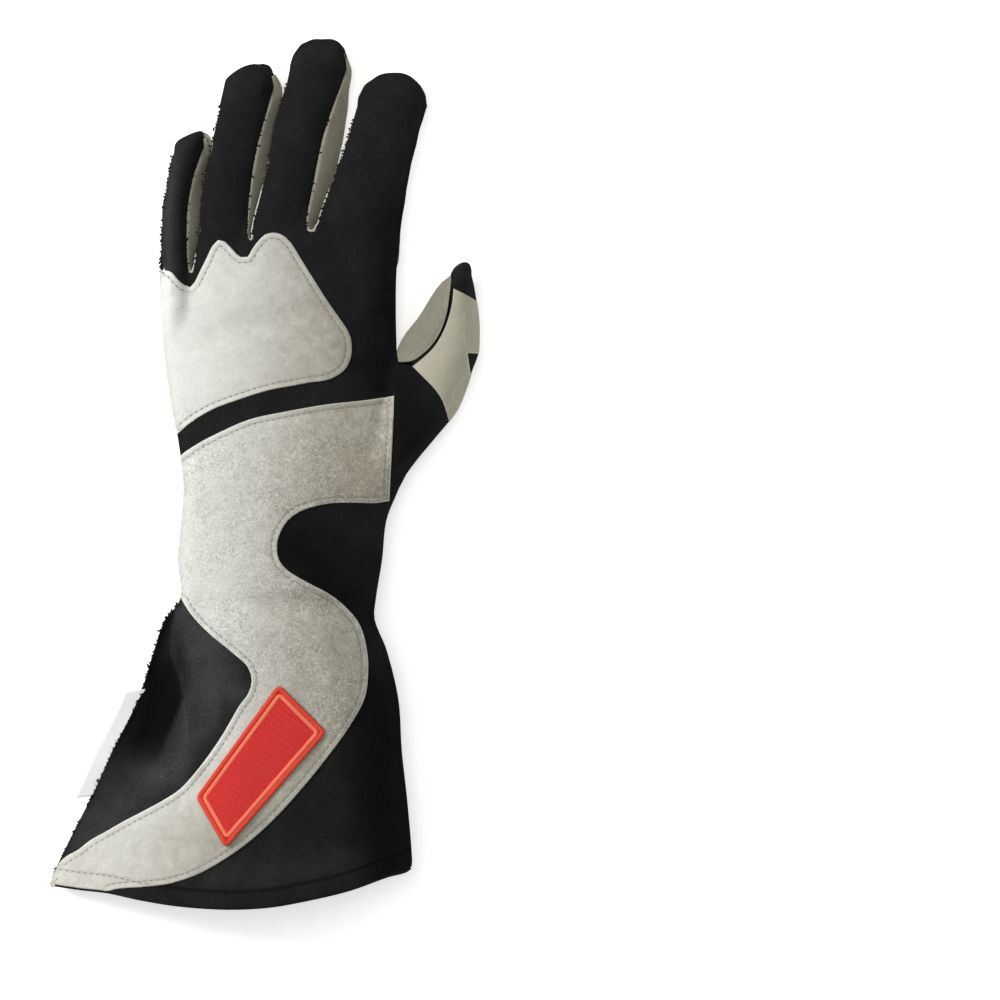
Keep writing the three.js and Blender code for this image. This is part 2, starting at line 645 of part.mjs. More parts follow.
// Each seam line can be shifted, so that the pieces on its two sides keep a gap
const cuffSide = (shift) => sideOf(shifted(SEAM_LINES.wrist, 0, -shift), BEYOND.wrist);
const thumbSide = (shift) => sideOf(
  shifted(SEAM_LINES.gusset, shift, -shift),
  [...shifted(BEYOND.gusset, shift, 0), ...BEYOND.gussetFar],
);
const heelSide = (shift) => sideOf(shifted(SEAM_LINES.thumbUnder, shift, 0), BEYOND.thumbUnder);
const frontTop = (shift) => sideOf(
  shifted(SEAM_LINES.thumbTop, shift, -shift),
  [...shifted(BEYOND.thumbTop, -shift, -shift), ...shifted(BEYOND.thumbTopFar, -shift, 0)],
);

// Sheets that every piece is cut from

const backSheet = sheet((x, y) => backTop(x, y) - WALL, backTop);
const palmSheet = sheet(palmUnder, (x, y) => palmUnder(x, y) + WALL);
const between = sheet(
  (x, y) => palmUnder(x, y) + WALL + GAP,
  (x, y) => Math.max(backTop(x, y) - WALL - GAP, palmUnder(x, y) + WALL + GAP + 0.05),
);
const onBack = (lift, thick) => sheet(
  (x, y) => backTop(x, y) + lift,
  (x, y) => backTop(x, y) + lift + thick,
);

// Turned-up cloth along the cuff's mouth
function hemBand(side, facing) {
  const edge = curveThrough(HEM, 12);
  const band = prism([...shifted(edge, 0, -1), ...shifted(edge, 0, HEM_DEPTH).reverse()]);
  const surface = facing > 0 ? backTop : palmUnder;
  const outer = (x, y) => surface(x, y) - facing * WALL * 0.5;
  const turned = (x, y) => surface(x, y) - facing * (WALL + HEM_FOLD);
  const cloth = facing > 0 ? sheet(turned, outer) : sheet(outer, turned);
  const clear = prism(trunkPlan(-HEM_SETBACK));
  return cloth.intersect(band).intersect(clear).intersect(side);
}

// Pieces

function backPanel() {
  const plan = joined([hand, ...backFingers]).subtract(frontTop(GAP));
  const over = backSheet.intersect(plan);
  const under = palmSheet.intersect(hand.add(heel)).intersect(heelSide(GAP)).subtract(cuffSide(-GAP));
  return over.add(under).add(hemBand(trunk, 1));
}

function palmPanel() {
  const plan = joined([trunk, ...palmFingers]).subtract(cuffSide(-GAP / 2)).subtract(thumbSide(-GAP / 2));
  return palmSheet.intersect(plan);
}

function cuffPalmPanel() {
  return palmSheet.intersect(trunk).intersect(cuffSide(GAP / 2)).add(hemBand(trunk, -1));
}

function thumbFront() {
  const under = palmSheet.intersect(hand).intersect(thumbSide(GAP / 2)).subtract(heelSide(0))
    .subtract(cuffSide(-GAP));
  const over = backSheet.intersect(thumb).intersect(frontTop(0)).subtract(trunk);
  return under.add(over);
}

// A strip that closes the side gap of two neighbouring fingers, from tip to crotch to tip
function fourchette(leftFinger, rightFinger, crotch) {
  const edge = (rows, column, inset, fromY, toY) => {
    const points = [];
    for (let i = 0; i <= STRIP_SPANS; i += 1) {
      const y = mix(fromY, toY, i / STRIP_SPANS);
      points.push({ x: along(rows, y, column) + inset, y });
    }
    return points;
  };
  const plan = (key, inset) => {
    const a = leftFinger[key];
    const b = rightFinger[key];
    const turnY = crotch.y + STRIP_TURN;
    const down = edge(a, 'right', -inset, a[a.length - 1].y - 1, turnY);
    const up = edge(b, 'left', inset, turnY, b[b.length - 1].y - 1);
    const [x1, x2] = [down[STRIP_SPANS].x, up[0].x];
    const turn = [0.2, 0.8].map((t) => ({ x: mix(x1, x2, t), y: crotch.y - inset }));
    return [...down, ...turn, ...up];
  };
  const ring = (inset) => [plan('palm', inset), plan('back', inset)];
  const [outerLow, outerHigh] = ring(STRIP_INSET);
  const [innerLow, innerHigh] = ring(STRIP_INSET + STRIP);
  const low = PALM_RIM - STRIP_REACH;
  const high = BACK_RIM + STRIP_REACH;
  const corner = (point, z) => [point.x, point.y, z];
  const geometry = loft(outerLow.map((_, i) => [
    corner(outerLow[i], low), corner(outerHigh[i], high),
    corner(innerHigh[i], high), corner(innerLow[i], low),
  ]));
  return solidFrom(geometry).intersect(between);
}

// A closed solid through four-cornered sections
function loft(sections) {
  const corners = sections.flat(2);
  const faces = [];
  const quad = (a, b, c, d) => faces.push(a, b, c, a, c, d);
  const last = (sections.length - 1) * 4;
  for (let i = 0; i < last; i += 4) {
    for (let k = 0; k < 4; k += 1) {
      const n = (k + 1) % 4;
      quad(i + k, i + n, i + 4 + n, i + 4 + k);
    }
  }
  quad(3, 2, 1, 0);
  quad(last, last + 1, last + 2, last + 3);
  const geometry = new THREE.BufferGeometry();
  geometry.setAttribute('position', new THREE.Float32BufferAttribute(corners, 3));
  geometry.setIndex(faces);
  return geometry;
}

function knucklePatch() {
  const plan = prism(outline(KNUCKLE_PATCH)).intersect(joined([trunk, ...backFingers]));
  return onBack(GAP, PATCH).intersect(plan);
}

function wristPatch() {
  return onBack(GAP, PATCH).intersect(prism(outline(WRIST_PATCH)).intersect(trunk));
}

function palmPatch() {
  return sheet(
    (x, y) => Math.max(0, palmUnder(x, y) - GAP - PATCH),
    (x, y) => Math.max(PATCH_LEAST, palmUnder(x, y) - GAP),
  ).intersect(prism(outline(PALM_PATCH)));
}

// The thumb patch: its top, the wall round the thumb's outer edge, and two lobes below
function thumbPatch() {
  const lip = prism(limbPlan(THUMB_ROWS, THUMB_TIP, GAP + PATCH));
  const clear = prism(limbPlan(THUMB_ROWS, THUMB_TIP, GAP));
  const reachUp = WALL + 2 * GAP;
  const parts = [onBack(GAP, PATCH).intersect(lip).intersect(prism(outline(THUMB_PATCH_TOP)))];
  const under = sheet(
    (x, y) => palmUnder(x, y) - GAP - PATCH,
    (x, y) => palmUnder(x, y) - GAP,
  );
  for (const lobe of THUMB_LOBES) {
    const span = [
      { x: 70, y: lobe.y2 }, { x: 110, y: lobe.y2 }, { x: 110, y: lobe.y1 }, { x: 70, y: lobe.y1 },
    ];
    const wall = lip.subtract(clear)
      .intersect(prism(span, THUMB_FOLD - reachUp, THUMB_FOLD + reachUp));
    const lobeUnder = under.intersect(lip)
      .subtract(thumb.translate([-lobe.reach, 0, 0]))
      .intersect(prism(span));
    parts.push(wall, lobeUnder);
  }
  return joined(parts);
}

function badge() {
  const { length, width, corner, turn, thick } = BADGE;
  const a = length / 2;
  const b = width / 2;
  const ring = [];
  for (const [cx, cy, start] of [[a, b, 0], [-a, b, 90], [-a, -b, 180], [a, -b, 270]]) {
    for (let k = 0; k <= 3; k += 1) {
      const angle = THREE.MathUtils.degToRad(start + k * 30);
      ring.push({
        x: cx - Math.sign(cx) * corner + corner * Math.cos(angle),
        y: cy - Math.sign(cy) * corner + corner * Math.sin(angle),
      });
    }
  }
  const spin = THREE.MathUtils.degToRad(turn);
  const placed = ring.map(({ x, y }) => ({
    x: BADGE.x + x * Math.cos(spin) - y * Math.sin(spin),
    y: BADGE.y + x * Math.sin(spin) + y * Math.cos(spin),
  }));
  return onBack(2 * GAP + PATCH, thick).intersect(prism(placed));
}

// A folded label held by the side seam of the cuff
function sideLabel() {
  const sections = [];
  for (let i = 0; i <= 8; i += 1) {
    const y = mix(LABEL.top, LABEL.bottom, i / 8);
    const x = along(TRUNK, y, 'left');
    const z = along(TRUNK, y, 'seamLeft');
    const [low, high] = [z - LABEL.thick / 2, z + LABEL.thick / 2];
    const [near, far] = [x - GAP, x - LABEL.reach];
    sections.push([[near, y, low], [near, y, high], [far, y - 2, high - 1], [far, y - 2, low - 1]]);
  }
  return solidFrom(loft(sections));
}

// Colours and finish of the real materials
const BLACK_CLOTH = { color: 0x17171a, roughness: 0.95, metalness: 0 };
const GREY_SUEDE = { color: 0xbdb9a6, roughness: 0.92, metalness: 0 };
const BLACK_SUEDE = { color: 0x161615, roughness: 0.9, metalness: 0 };
const BADGE_THREAD = { color: 0xd8342c, roughness: 0.6, metalness: 0 };
const WHITE_SATIN = { color: 0xe9e8e4, roughness: 0.5, metalness: 0 };

const glove = new THREE.Group();

function addPiece(name, solid, finish) {
  const mesh = solid.simplify(SIMPLIFY).getMesh();
  const geometry = new THREE.BufferGeometry();
  geometry.setAttribute('position', new THREE.Float32BufferAttribute(mesh.vertProperties, mesh.numProp));
  geometry.setIndex([...mesh.triVerts]);
  geometry.computeVertexNormals();
  const piece = new THREE.Mesh(geometry, new THREE.MeshStandardMaterial(finish));
  piece.name = name;
  glove.add(piece);
}

const [little, ring, middle, index] = FINGERS;
addPiece('back_panel', backPanel(), BLACK_CLOTH);
addPiece('palm_panel', palmPanel(), GREY_SUEDE);
addPiece('thumb_front', thumbFront(), GREY_SUEDE);
addPiece('cuff_palm_panel', cuffPalmPanel(), BLACK_CLOTH);
addPiece('fourchette_little_ring', fourchette(little, ring, CROTCHES[1]), GREY_SUEDE);
addPiece('fourchette_ring_middle', fourchette(ring, middle, CROTCHES[2]), GREY_SUEDE);
addPiece('fourchette_middle_index', fourchette(middle, index, CROTCHES[3]), GREY_SUEDE);
addPiece('knuckle_patch', knucklePatch(), GREY_SUEDE);
addPiece('wrist_patch', wristPatch(), GREY_SUEDE);
addPiece('thumb_patch', thumbPatch(), GREY_SUEDE);
addPiece('palm_patch', palmPatch(), BLACK_SUEDE);
addPiece('badge', badge(), BADGE_THREAD);
addPiece('side_label', sideLabel(), WHITE_SATIN);

export default glove;
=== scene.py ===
"""A left-hand racing glove of black cloth and grey suede, lying on its palm.

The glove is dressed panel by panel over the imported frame. Plan sizes are in millimetres and
become metres when a mesh is made. X runs toward the thumb, Y toward the fingertips, Z up.
"""

import math
from collections import namedtuple

import bmesh
import bpy
import numpy as np
from bpy.props import FloatProperty, FloatVectorProperty, PointerProperty
from mathutils import Matrix, Vector

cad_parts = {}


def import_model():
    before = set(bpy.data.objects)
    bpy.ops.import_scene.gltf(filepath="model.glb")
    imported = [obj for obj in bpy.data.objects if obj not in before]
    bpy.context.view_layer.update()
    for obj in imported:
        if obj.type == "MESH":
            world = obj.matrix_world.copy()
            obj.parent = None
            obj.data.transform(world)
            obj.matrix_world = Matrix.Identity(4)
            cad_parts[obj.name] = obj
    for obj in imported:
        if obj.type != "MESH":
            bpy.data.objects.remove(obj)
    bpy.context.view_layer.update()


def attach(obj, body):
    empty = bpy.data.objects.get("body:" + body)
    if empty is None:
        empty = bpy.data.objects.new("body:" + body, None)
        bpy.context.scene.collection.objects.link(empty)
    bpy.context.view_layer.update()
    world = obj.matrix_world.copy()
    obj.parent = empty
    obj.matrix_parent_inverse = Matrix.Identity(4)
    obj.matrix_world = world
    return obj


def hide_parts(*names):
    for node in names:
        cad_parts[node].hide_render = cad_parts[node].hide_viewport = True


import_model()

bl_info = {
    "name": "Racing glove",
    "version": (1, 0, 0),
    "blender": (4, 5, 0),
    "location": "3D View > Sidebar > Glove",
    "description": "Builds a racing glove of cloth and suede panels",
    "category": "Object",
}

MM = 0.001
QUARTER_TURN = math.pi / 2
ROOT = "root"

# Hand, cuff and fingers

Limb = namedtuple("Limb", "rows tip square")


def table(names, *rows):
    """A table as named columns, sorted by its first one."""
    columns = np.array(sorted(rows), float).T
    return dict(zip(names.split(), columns))


def finger(back, palm, *rows):
    """A finger's two outlines. Each row: y, the back's left and right, and the palm's."""
    return {
        "back": Limb(table(EDGES, *(row[:3] for row in rows)), *back),
        "palm": Limb(table(EDGES, *((row[0], *row[3:]) for row in rows)), *palm),
    }


TRUNK = table(
    "y left right crown seam_left seam_right base fold",
    (62, -55, 55.8, 20, 9, 9, 1.8, 0),
    (36, -55, 53.5, 22, 9, 9, 1.8, 0),
    (4.5, -54, 53.5, 25, 11, 10.5, 1.8, 0),
    (-23, -50.5, 55, 27, 12, 10.5, 1.8, 0),
    (-41.5, -47, 60, 28, 12, 10.5, 1.8, 1),
    (-62.5, -44.5, 55, 29, 13, 11, 1.8, 1),
    (-78, -45.5, 49, 29, 13, 12, 1.8, 1),
    (-96, -47, 47, 29, 13, 13, 2.4, 0),
    (-115, -46, 44, 30, 13, 13, 2.4, 0),
    (-124, -53, 43.5, 31, 12.5, 13, 1.8, 0),
    (-138, -58, 49, 32, 12, 14, 1, 0),
    (-161, -65.5, 54.5, 34, 11, 15, 0, 0),
    (-184, -77, 56, 37, 10, 15, 0, 0),
    (-207, -87.5, 58.5, 40, 8.5, 15, 0, 0),
    (-230, -99, 60.5, 42, 7, 15, 0, 0),
    (-258, -112, 62, 44, 6, 15, 0, 0),
)
HEM = [
    (-105.5, -246), (-92, -247.7), (-79, -249), (-64.4, -252), (-46, -254.8), (-23, -256.2),
    (-4.6, -255.3), (13.8, -252.1), (32.2, -247.8), (50, -241.6), (58, -239.6), (60.6, -237.6),
]

# Where each slot between two fingers ends, and how far that is shifted and rounded on each side
CROTCHES = [(-60, 33), (-41, 35.5), (-13.5, 50.5), (14.5, 54.5), (60, 50)]
SLOTS = {
    "back": [(0, 1.2), (0, 1.1), (0, 2.4)],
    "palm": [(2.2, 0.6), (2.8, 0.7), (3.9, 1.2)],
}
CUT_EDGE_RISES = [9, 26, 20]

# Each limb has its edges, its tip, and how square the tip's two sides are
EDGES = "y left right"
FINGERS = {
    "little": finger(
        ((-37, 101), (1.3, 0.5)), ((-36, 100.5), (1.3, 1)),
        (20, -55.5, -41, -55.5, -38),
        (34.5, -55, -42.5, -55, -40),
        (60, -54.5, -43, -54, -36.5),
        (78, -52, -40.5, -51, -35.5),
        (94, -48.6, -35, -47.4, -31.5),
    ),
    "ring": finger(
        ((-10, 132), (1, 0.62)), ((-8, 130.5), (1, 1.4)),
        (20, -42, -15, -39, -13),
        (50.5, -37.5, -15.5, -35, -12.5),
        (73.5, -35.5, -14, -31.5, -8.5),
        (96.5, -31, -10, -27, -4),
        (120.5, -26, -3, -22.5, 1),
    ),
    "middle": finger(
        ((19.5, 143.5), (0.9, 0.6)), ((21.5, 141.5), (0.9, 1.1)),
        (25, -15, 12, -12, 15),
        (55, -12.5, 11.5, -9, 17),
        (78, -7, 15.5, -3, 24),
        (101, -3, 20.5, 1.5, 29),
        (129, 4.5, 30.5, 8, 32),
    ),
    "index": finger(
        ((52, 128), (1, 0.95)), ((53, 126.5), (1, 0.95)),
        (25, 15, 53.5, 18, 53.5),
        (56, 17.5, 55.5, 20.5, 55.5),
        (78, 24.5, 59, 28, 58.5),
        (99, 31.5, 63.5, 34.5, 63),
        (112.5, 35.5, 67.5, 39, 66.5),
    ),
}
OPEN_SIDES = {"little": (0, 1), "ring": (1, 1), "middle": (1, 1), "index": (1, 0)}

# Up or down, the height of an open rim and of the middle, the section's power, and for the
# root how far it rises and from which y
FINGER_SHAPES = {"back": (1, 13.6, 18, 2.4, 1.5, 40), "palm": (-1, 3.6, 0.4, 2.8, 1.4, 50)}
THUMB_SHAPES = {"back": (1, 22, 2.6), "palm": (-1, 1.8, 3)}
THUMB = Limb(
    table(
        EDGES, (-60, 30, 56), (-50.5, 34, 63), (-41.5, 38, 70.5), (-28.5, 43, 81),
        (-18.5, 47, 85.5), (-9, 50.2, 88.6), (-2, 53, 91.2), (6, 56.5, 91.7), (15, 63.5, 91.5),
        (30, 73, 89.2), (34.5, 78.4, 88.2),
    ),
    (84.6, 40.6), (1.25, 0.7),
)

# Folds: the line each follows, how far it rises and its width
BACK_FOLDS = [
    (-47, -112, -50, -142, 3, 8),
    (-50, -142, -42, -190, 3.5, 10),
    (-56, -152, -60, -186, -2, 9),
    (-34, -120, 32, -117, -2.5, 10),
    (20, -135, 34, -215, 2, 12),
    (-6, -200, -14, -256, -1.5, 14),
    (-30, 8, 34, 22, -1.2, 8),
    (40, -8, 52, -22, -1.5, 7),
    (-34, 83, -10, 80, -1, 5),
    (-3, 90, 19, 86, -1, 5),
    (28, 82, 60, 76, -1, 5),
]
PALM_FOLDS = [
    (6, -118, -2, -236, 3, 9),
    (-34, -126, -52, -215, 2, 10),
    (32, -122, 40, -210, 2, 9),
    (-22, 92, 60, 88, 1, 5),
]
# The puckers over the wrist's elastic: how deep they are and how far apart
PUCKER_DEPTH, PUCKER_PITCH = 1.6, 8

WRIST_SEAM = [(-46.4, -89.6), (-30, -87), (0, -85.5), (18.5, -86), (35, -89), (47.2, -91.9)]
GUSSET_SEAM = [
    (53.5, 1), (45, 6.5), (33, 13), (23.5, 11), (16, 3.5), (11, -6.5), (8.5, -18.5),
    (9.5, -32), (14, -44.5), (23, -59),
]
THUMB_SEAM = [
    (76.8, 26), (74, 16), (69, 7), (62, -1.5), (53, -9.5), (42.5, -17.5), (35, -26),
    (30, -37), (25.5, -48.5), (23, -59), (21.5, -71.5), (19.5, -86.5),
]
THUMB_TOP_SEAM = [
    (78.4, 31), (77.9, 25), (76.6, 16.5), (73.6, 8), (69, 1.3), (64, -3), (60, -5.6),
]

# Patches: points of a smooth closed curve, 1 marking a sharp corner
KNUCKLE_PATCH = [
    (-59, 36, 1), (-53.5, 36.8), (-49.5, 35.5), (-47, 32.5), (-44, 30), (-41.3, 29), (-39.5, 31),
    (-37, 36), (-34, 42), (-31, 48), (-28.5, 50.6), (-25.5, 50), (-22, 46.5), (-18, 42.8),
    (-15, 42.8), (-13, 46), (-10.5, 49.5), (-7, 53), (-3, 54), (1, 53), (5, 49.5), (10, 41.5),
    (15, 33.5), (21, 24), (27.5, 14.5), (31.5, 8.5), (33, 3), (32.5, -4), (29.5, -9.5),
    (23, -13.5), (14, -15), (4.5, -16.8), (-4.5, -18.5), (-18.5, -22.8), (-30, -27), (-39, -32),
    (-43.2, -35.1), (-47.4, -38.8, 1), (-56, -20), (-60, 8),
]
WRIST_PATCH = [
    (-53, -53.5, 1), (-42.5, -46), (-36, -42), (-28, -38), (-14, -32), (4.5, -28), (22, -25),
    (40, -23), (52.5, -21, 1), (52, -37), (51, -55), (50.2, -69.5, 1), (44, -70.4), (32, -70.2),
    (23, -70.6), (16, -72), (9, -74.5), (4.2, -78), (0.5, -83.5), (-1.2, -90), (0, -97),
    (4, -101.5), (14, -107.5), (24, -113), (32, -120), (37, -127), (40, -138), (40.6, -148),
    (39, -160), (32, -173), (22, -187), (9, -203), (-4.5, -217.5), (-16, -227.5), (-27, -235),
    (-38, -241), (-51, -245.2), (-59, -246.3), (-68, -247), (-76, -247.9), (-82, -250, 1),
    (-106.5, -250, 1), (-105.4, -240, 1), (-99, -233.4), (-93, -230), (-87.4, -225.6),
    (-80.5, -221.7), (-71.3, -216.4), (-62.1, -211.6), (-53, -206.6), (-45.6, -201.6),
    (-37, -192), (-27, -178), (-18.5, -163.5), (-14.5, -158), (-12.8, -152), (-14.5, -146),
    (-22, -139), (-33, -130), (-41, -121.5), (-46.5, -113, 1),
]
PALM_PATCH = [
    (-53, 40.5), (-50, 43.8), (-46.5, 45), (-43, 41.5), (-40, 36.5), (-37, 33.2), (-34, 35.5),
    (-31.5, 40.5), (-28, 48), (-24, 51), (-19.5, 49.5), (-15, 45), (-10.5, 43.5), (-7, 46),
    (-3, 52), (2, 55.5), (8, 55.5), (12.5, 52), (17.5, 48), (23, 50), (29, 55.5), (36, 58.5),
    (44, 56), (49, 50), (50, 43), (48.5, 32), (46, 25), (41, 20.5), (33, 17), (24, 15),
    (17, 11.5), (12, 5.5), (9, -4), (7.5, -16), (6.5, -30), (4, -42), (-1, -52), (-9, -57.5),
    (-22, -61), (-33, -62), (-39, -59), (-43, -51), (-46, -34), (-49.5, -10), (-52.5, 12),
    (-53.5, 28),
]
THUMB_PATCH_TOP = [(79.8, 28.2), (84, 26.2), (88, 24)]
THUMB_PATCH_NOTCH = [(86.2, -1.4), (87.4, -10)]
THUMB_PATCH_HEEL = [(77, -30), (75.2, -24), (71.6, -18.4), (66, -12.6), (61, -7.6)]
THUMB_PATCH_BACK = [
    (61, -7.6), (66.4, -3.2), (71.4, 2), (75.4, 9), (78.2, 17), (79.4, 23), (79.8, 28.2),
]
# The lobes under the thumb: from and to which y, and how far each reaches
THUMB_LOBES = [(22.4, -1.5, 7.5), (-11, -33, 5)]
BADGE = [(-38.4, -205.4), (-24.6, -229.2), (21.8, -175.6), (-0.4, -153.4)]
BADGE_TURN = 51.9

# The crease down the cuff's left side; the cloth falls away to the left of it
CREASE = [
    (-188.6, -41.4), (-174.8, -42.3), (-161, -43.7), (-151.8, -45.5), (-144.9, -47.8),
    (-140.3, -49.7), (-133.4, -50.1), (-115, -46.9),
]
CREASE_DEPTH, CREASE_WIDTH = 5.0, 4.5

# Painted light and shade on the cloth, lighter or darker along lines: a line, how much in stops,
# and its width
PAINTED_CLOTH_LIGHT = [
    (-41, -122, -34, -168, 1.7, 13),
    (-30, -132, -20, -158, 1.3, 12),
    (-38, -166, -46, -194, 1.3, 13),
    (-58, -196, -88, -226, 1.2, 17),
    (-52, 96, -51, 36, 1.0, 8),
    (46, 0, 50, 60, -0.7, 16),
    (52, -14, 60, -42, -1.0, 20),
    (8, -92, 30, -122, -1.2, 30),
    (44, -160, 50, -236, -1.5, 20),
    (-30, -243, 30, -236, 0.8, 14),
]

# The walls of the solids, the gap at an open edge, the lap at a folded one, and how far a
# panel's face stays from the middle where a seam pinches it
WALL, GAP, FOLD_LAP, SEAM_HALF = 2.0, 0.5, 0.5, 1.2

# How steeply the hand's surfaces close past the ends of the slots
SLOT_FALL = 0.45

# How far in from an edge its stitches run, and how far a patch's face lies over the cloth
HEM_STITCH, PATCH_STITCH, PATCH_LIFT = 7.4, 2.6, 1.15

# The hem's fold in section: how far out past the mouth's edge, and how far down
HEM_SECTION = [
    (-8.2, 1.6), (-8.3, 2.2), (-8, 2.9), (-4, 3.1), (-0.6, 3.05), (0.5, 2.5), (0.85, 1.6),
    (0.55, 0.6), (-0.4, 0.05), (-1.6, 0.15),
]

# A tan stain on the back's suede: its middle, and how far it reaches
STAIN = (37, -58, 25, 20)

# The side label: from and to which y it is sewn in, and how far it stands out
LABEL_TOP, LABEL_END, LABEL_REACH = -156, -205, 7.4

# A sheet's squares, how far in its cut edge rolls over, and how near a seam catches it
GRID_STEP, ROLLED_EDGE, CAUGHT_WITHIN = 1.8, 0.5, 1.2
SHARP_ANGLE = 40

# The finger strips: points along each, and how far inside the fingers' edges they are sewn
STRIP_POINTS, STRIP_INSET = 110, 0.35

# The stage, in metres: each light's place, size and power, and the camera's place
LIGHTS = {"key": ((-1.6, 0.7, 1.45), 0.9, 46), "top": ((-0.2, 0.3, 2.4), 1.6, 15)}
LIGHTS_AIM = Vector((0, -0.05, 0))
FLOOR_SIZE, FLOOR_LEVEL = 3.0, -0.0004
CAMERA_PLACE = (0.1012, -0.069, 7.687)
CAMERA_LENS, CAMERA_SENSOR = 600, 36


def mix(a, b, t):
    return a + (b - a) * t


def smooth(low, high, value):
    t = np.clip((value - low) / (high - low), 0, 1)
    return t * t * (3 - 2 * t)


def soft_max(a, b, k):
    h = np.maximum(k - np.abs(a - b), 0) / k
    return np.maximum(a, b) + h * h * k / 4


def unit(vectors):
    return vectors / np.hypot(*vectors.T)[:, None]


def along(rows, y, column):
    """A column of a table as a smooth curve over y."""
    ys, vs = rows["y"], rows[column]
    slope = np.gradient(vs, ys)
    slope[1:-1] = (vs[2:] - vs[:-2]) / (ys[2:] - ys[:-2])
    y = np.clip(y, ys[0], ys[-1])
    i = np.clip(np.searchsorted(ys, y, side="right") - 1, 0, len(ys) - 2)
    span = ys[i + 1] - ys[i]
    t = (y - ys[i]) / span
    return (
        (2 * t**3 - 3 * t**2 + 1) * vs[i]
        + (t**3 - 2 * t**2 + t) * span * slope[i]
        + (3 * t**2 - 2 * t**3) * vs[i + 1]
        + (t**3 - t**2) * span * slope[i + 1]
    )


def crowned(u, power, held):
    """A section that is 1 in the middle and 0 at its sides, flat past a held side."""
    a = np.abs(u)
    outside = np.where(held, 0, power * 0.6 * (1 - a))
    return np.where(a < 1, 1 - np.minimum(a, 1) ** power, outside)


def fold_rise(folds, x, y):
    total = np.zeros_like(x)
    for x1, y1, x2, y2, rise, width in folds:
        dx, dy = x2 - x1, y2 - y1
        t = np.clip(((x - x1) * dx + (y - y1) * dy) / (dx * dx + dy * dy), 0, 1)
        d = np.hypot(x - x1 - t * dx, y - y1 - t * dy) / width
        total += rise * np.exp(-2.5 * d * d)
    return total


def mottle(x, y, size, seed):
    """Smooth random bumps from -1 to 1, about one for each size across."""
    grid = np.random.default_rng(seed).uniform(-1, 1, (97, 97))
    u, v = x / size + 40, y / size + 40
    i, j = np.floor(u).astype(int) % 96, np.floor(v).astype(int) % 96
    a, b = u - np.floor(u), v - np.floor(v)
    a, b = a * a * (3 - 2 * a), b * b * (3 - 2 * b)
    low = mix(grid[i, j], grid[i + 1, j], a)
    high = mix(grid[i, j + 1], grid[i + 1, j + 1], a)
    return mix(low, high, b)


def rim_lift(fold):
    """How far a panel's face lies from its seam: less where it is folded than where it ends."""
    return mix(WALL + GAP * 0.7, WALL - FOLD_LAP / 2, np.clip(fold, 0, 1))


def trunk_surfaces(x, y):
    """Heights of the hand and cuff's upper and lower surface."""
    left, right = along(TRUNK, y, "left"), along(TRUNK, y, "right")
    u = (2 * x - left - right) / (right - left)
    side = np.clip((u + 1) / 2, 0, 1)
    seam = mix(along(TRUNK, y, "seam_left"), along(TRUNK, y, "seam_right"), side)
    lift = rim_lift(along(TRUNK, y, "fold") * smooth(0.4, 0.9, side))
    fall = np.maximum(0, y - np.interp(x, *np.transpose(CROTCHES))) * SLOT_FALL
    held = (u < 0) | (y < -90)
    flat = np.maximum(0, np.abs(u) - 0.45) / 0.55
    top = mix(seam + lift, along(TRUNK, y, "crown"), crowned(u, 2.05, held))
    under = mix(seam - lift, along(TRUNK, y, "base"), crowned(flat, 2.6, held))
    return top - fall, under + fall


def bent(share, square):
    """How far out a tip's side still is: an ellipse for 1 and squarer below it."""
    return np.clip(1 - np.clip(share, 0, 1) ** (2 / square), 0, 1) ** (square / 2)


def limb_frame(limb, x, y):
    """How far across a limb a point is, from -1 to 1, and how near its tip, from 0 to 1."""
    end, (tip_x, tip_y) = limb.rows["y"][-1], limb.tip
    yc = np.minimum(y, tip_y - 0.4)
    share = (yc - end) / (tip_y - end)
    left, right = (
        mix(tip_x, along(limb.rows, yc, side), bent(share, square))
        for side, square in zip(("left", "right"), limb.square)
    )
    return (2 * x - left - right) / (right - left), smooth(end - 12, tip_y, y)


def finger_surface(name, side, x, y):
    """Height of a finger's back or palm side, which sinks into the hand at its root."""
    up, gap_rim, middle, power, rise, root = FINGER_SHAPES[side]
    u, v = limb_frame(FINGERS[name][side], x, y)
    lift = rim_lift(0) * up
    ends = [gap_rim if is_open else 9 + lift for is_open in OPEN_SIDES[name]]
    rim = mix(mix(*ends, np.clip((u + 1) / 2, 0, 1)), 8 + lift, v)
    held = (u < 0) & (not OPEN_SIDES[name][0])
    sunk = rise * smooth(80, root, y) - up * 0.35 * np.maximum(0, 20 - y)
    return mix(rim, mix(middle, rim, v**3), crowned(u, power, held)) + sunk


def thumb_surface(side, x, y):
    up, middle, power = THUMB_SHAPES[side]
    u, v = limb_frame(THUMB, x, y)
    rim = 10.5 + up * rim_lift(np.maximum(smooth(2, 8, y), smooth(-0.2, 0.4, u)))
    inside = up * 0.3 * np.maximum(0, -50 - y)
    return mix(rim, mix(middle, rim + up * 2, v**2), crowned(u, power, False)) - inside


def back_top(x, y):
    """Height of the glove's back."""
    z = trunk_surfaces(x, y)[0]
    for name in FINGERS:
        z = soft_max(z, finger_surface(name, "back", x, y), 2)
    z = soft_max(z, thumb_surface("back", x, y), 2)
    return z + fold_rise(BACK_FOLDS, x, y)


def palm_under(x, y):
    """Height of the palm side's underside."""
    z = trunk_surfaces(x, y)[1]
    for name in FINGERS:
        z = -soft_max(-z, -finger_surface(name, "palm", x, y), 1)
    z = -soft_max(-z, -thumb_surface("palm", x, y), 2)
    across = smooth(-20, -8, x) * smooth(50, 38, x)
    near = np.exp(-(((y + 90) / 22) ** 2))
    pucker = PUCKER_DEPTH * (1 - np.cos(2 * np.pi * x / PUCKER_PITCH)) / 2
    return z + fold_rise(PALM_FOLDS, x, y) + pucker * across * near


# Plans


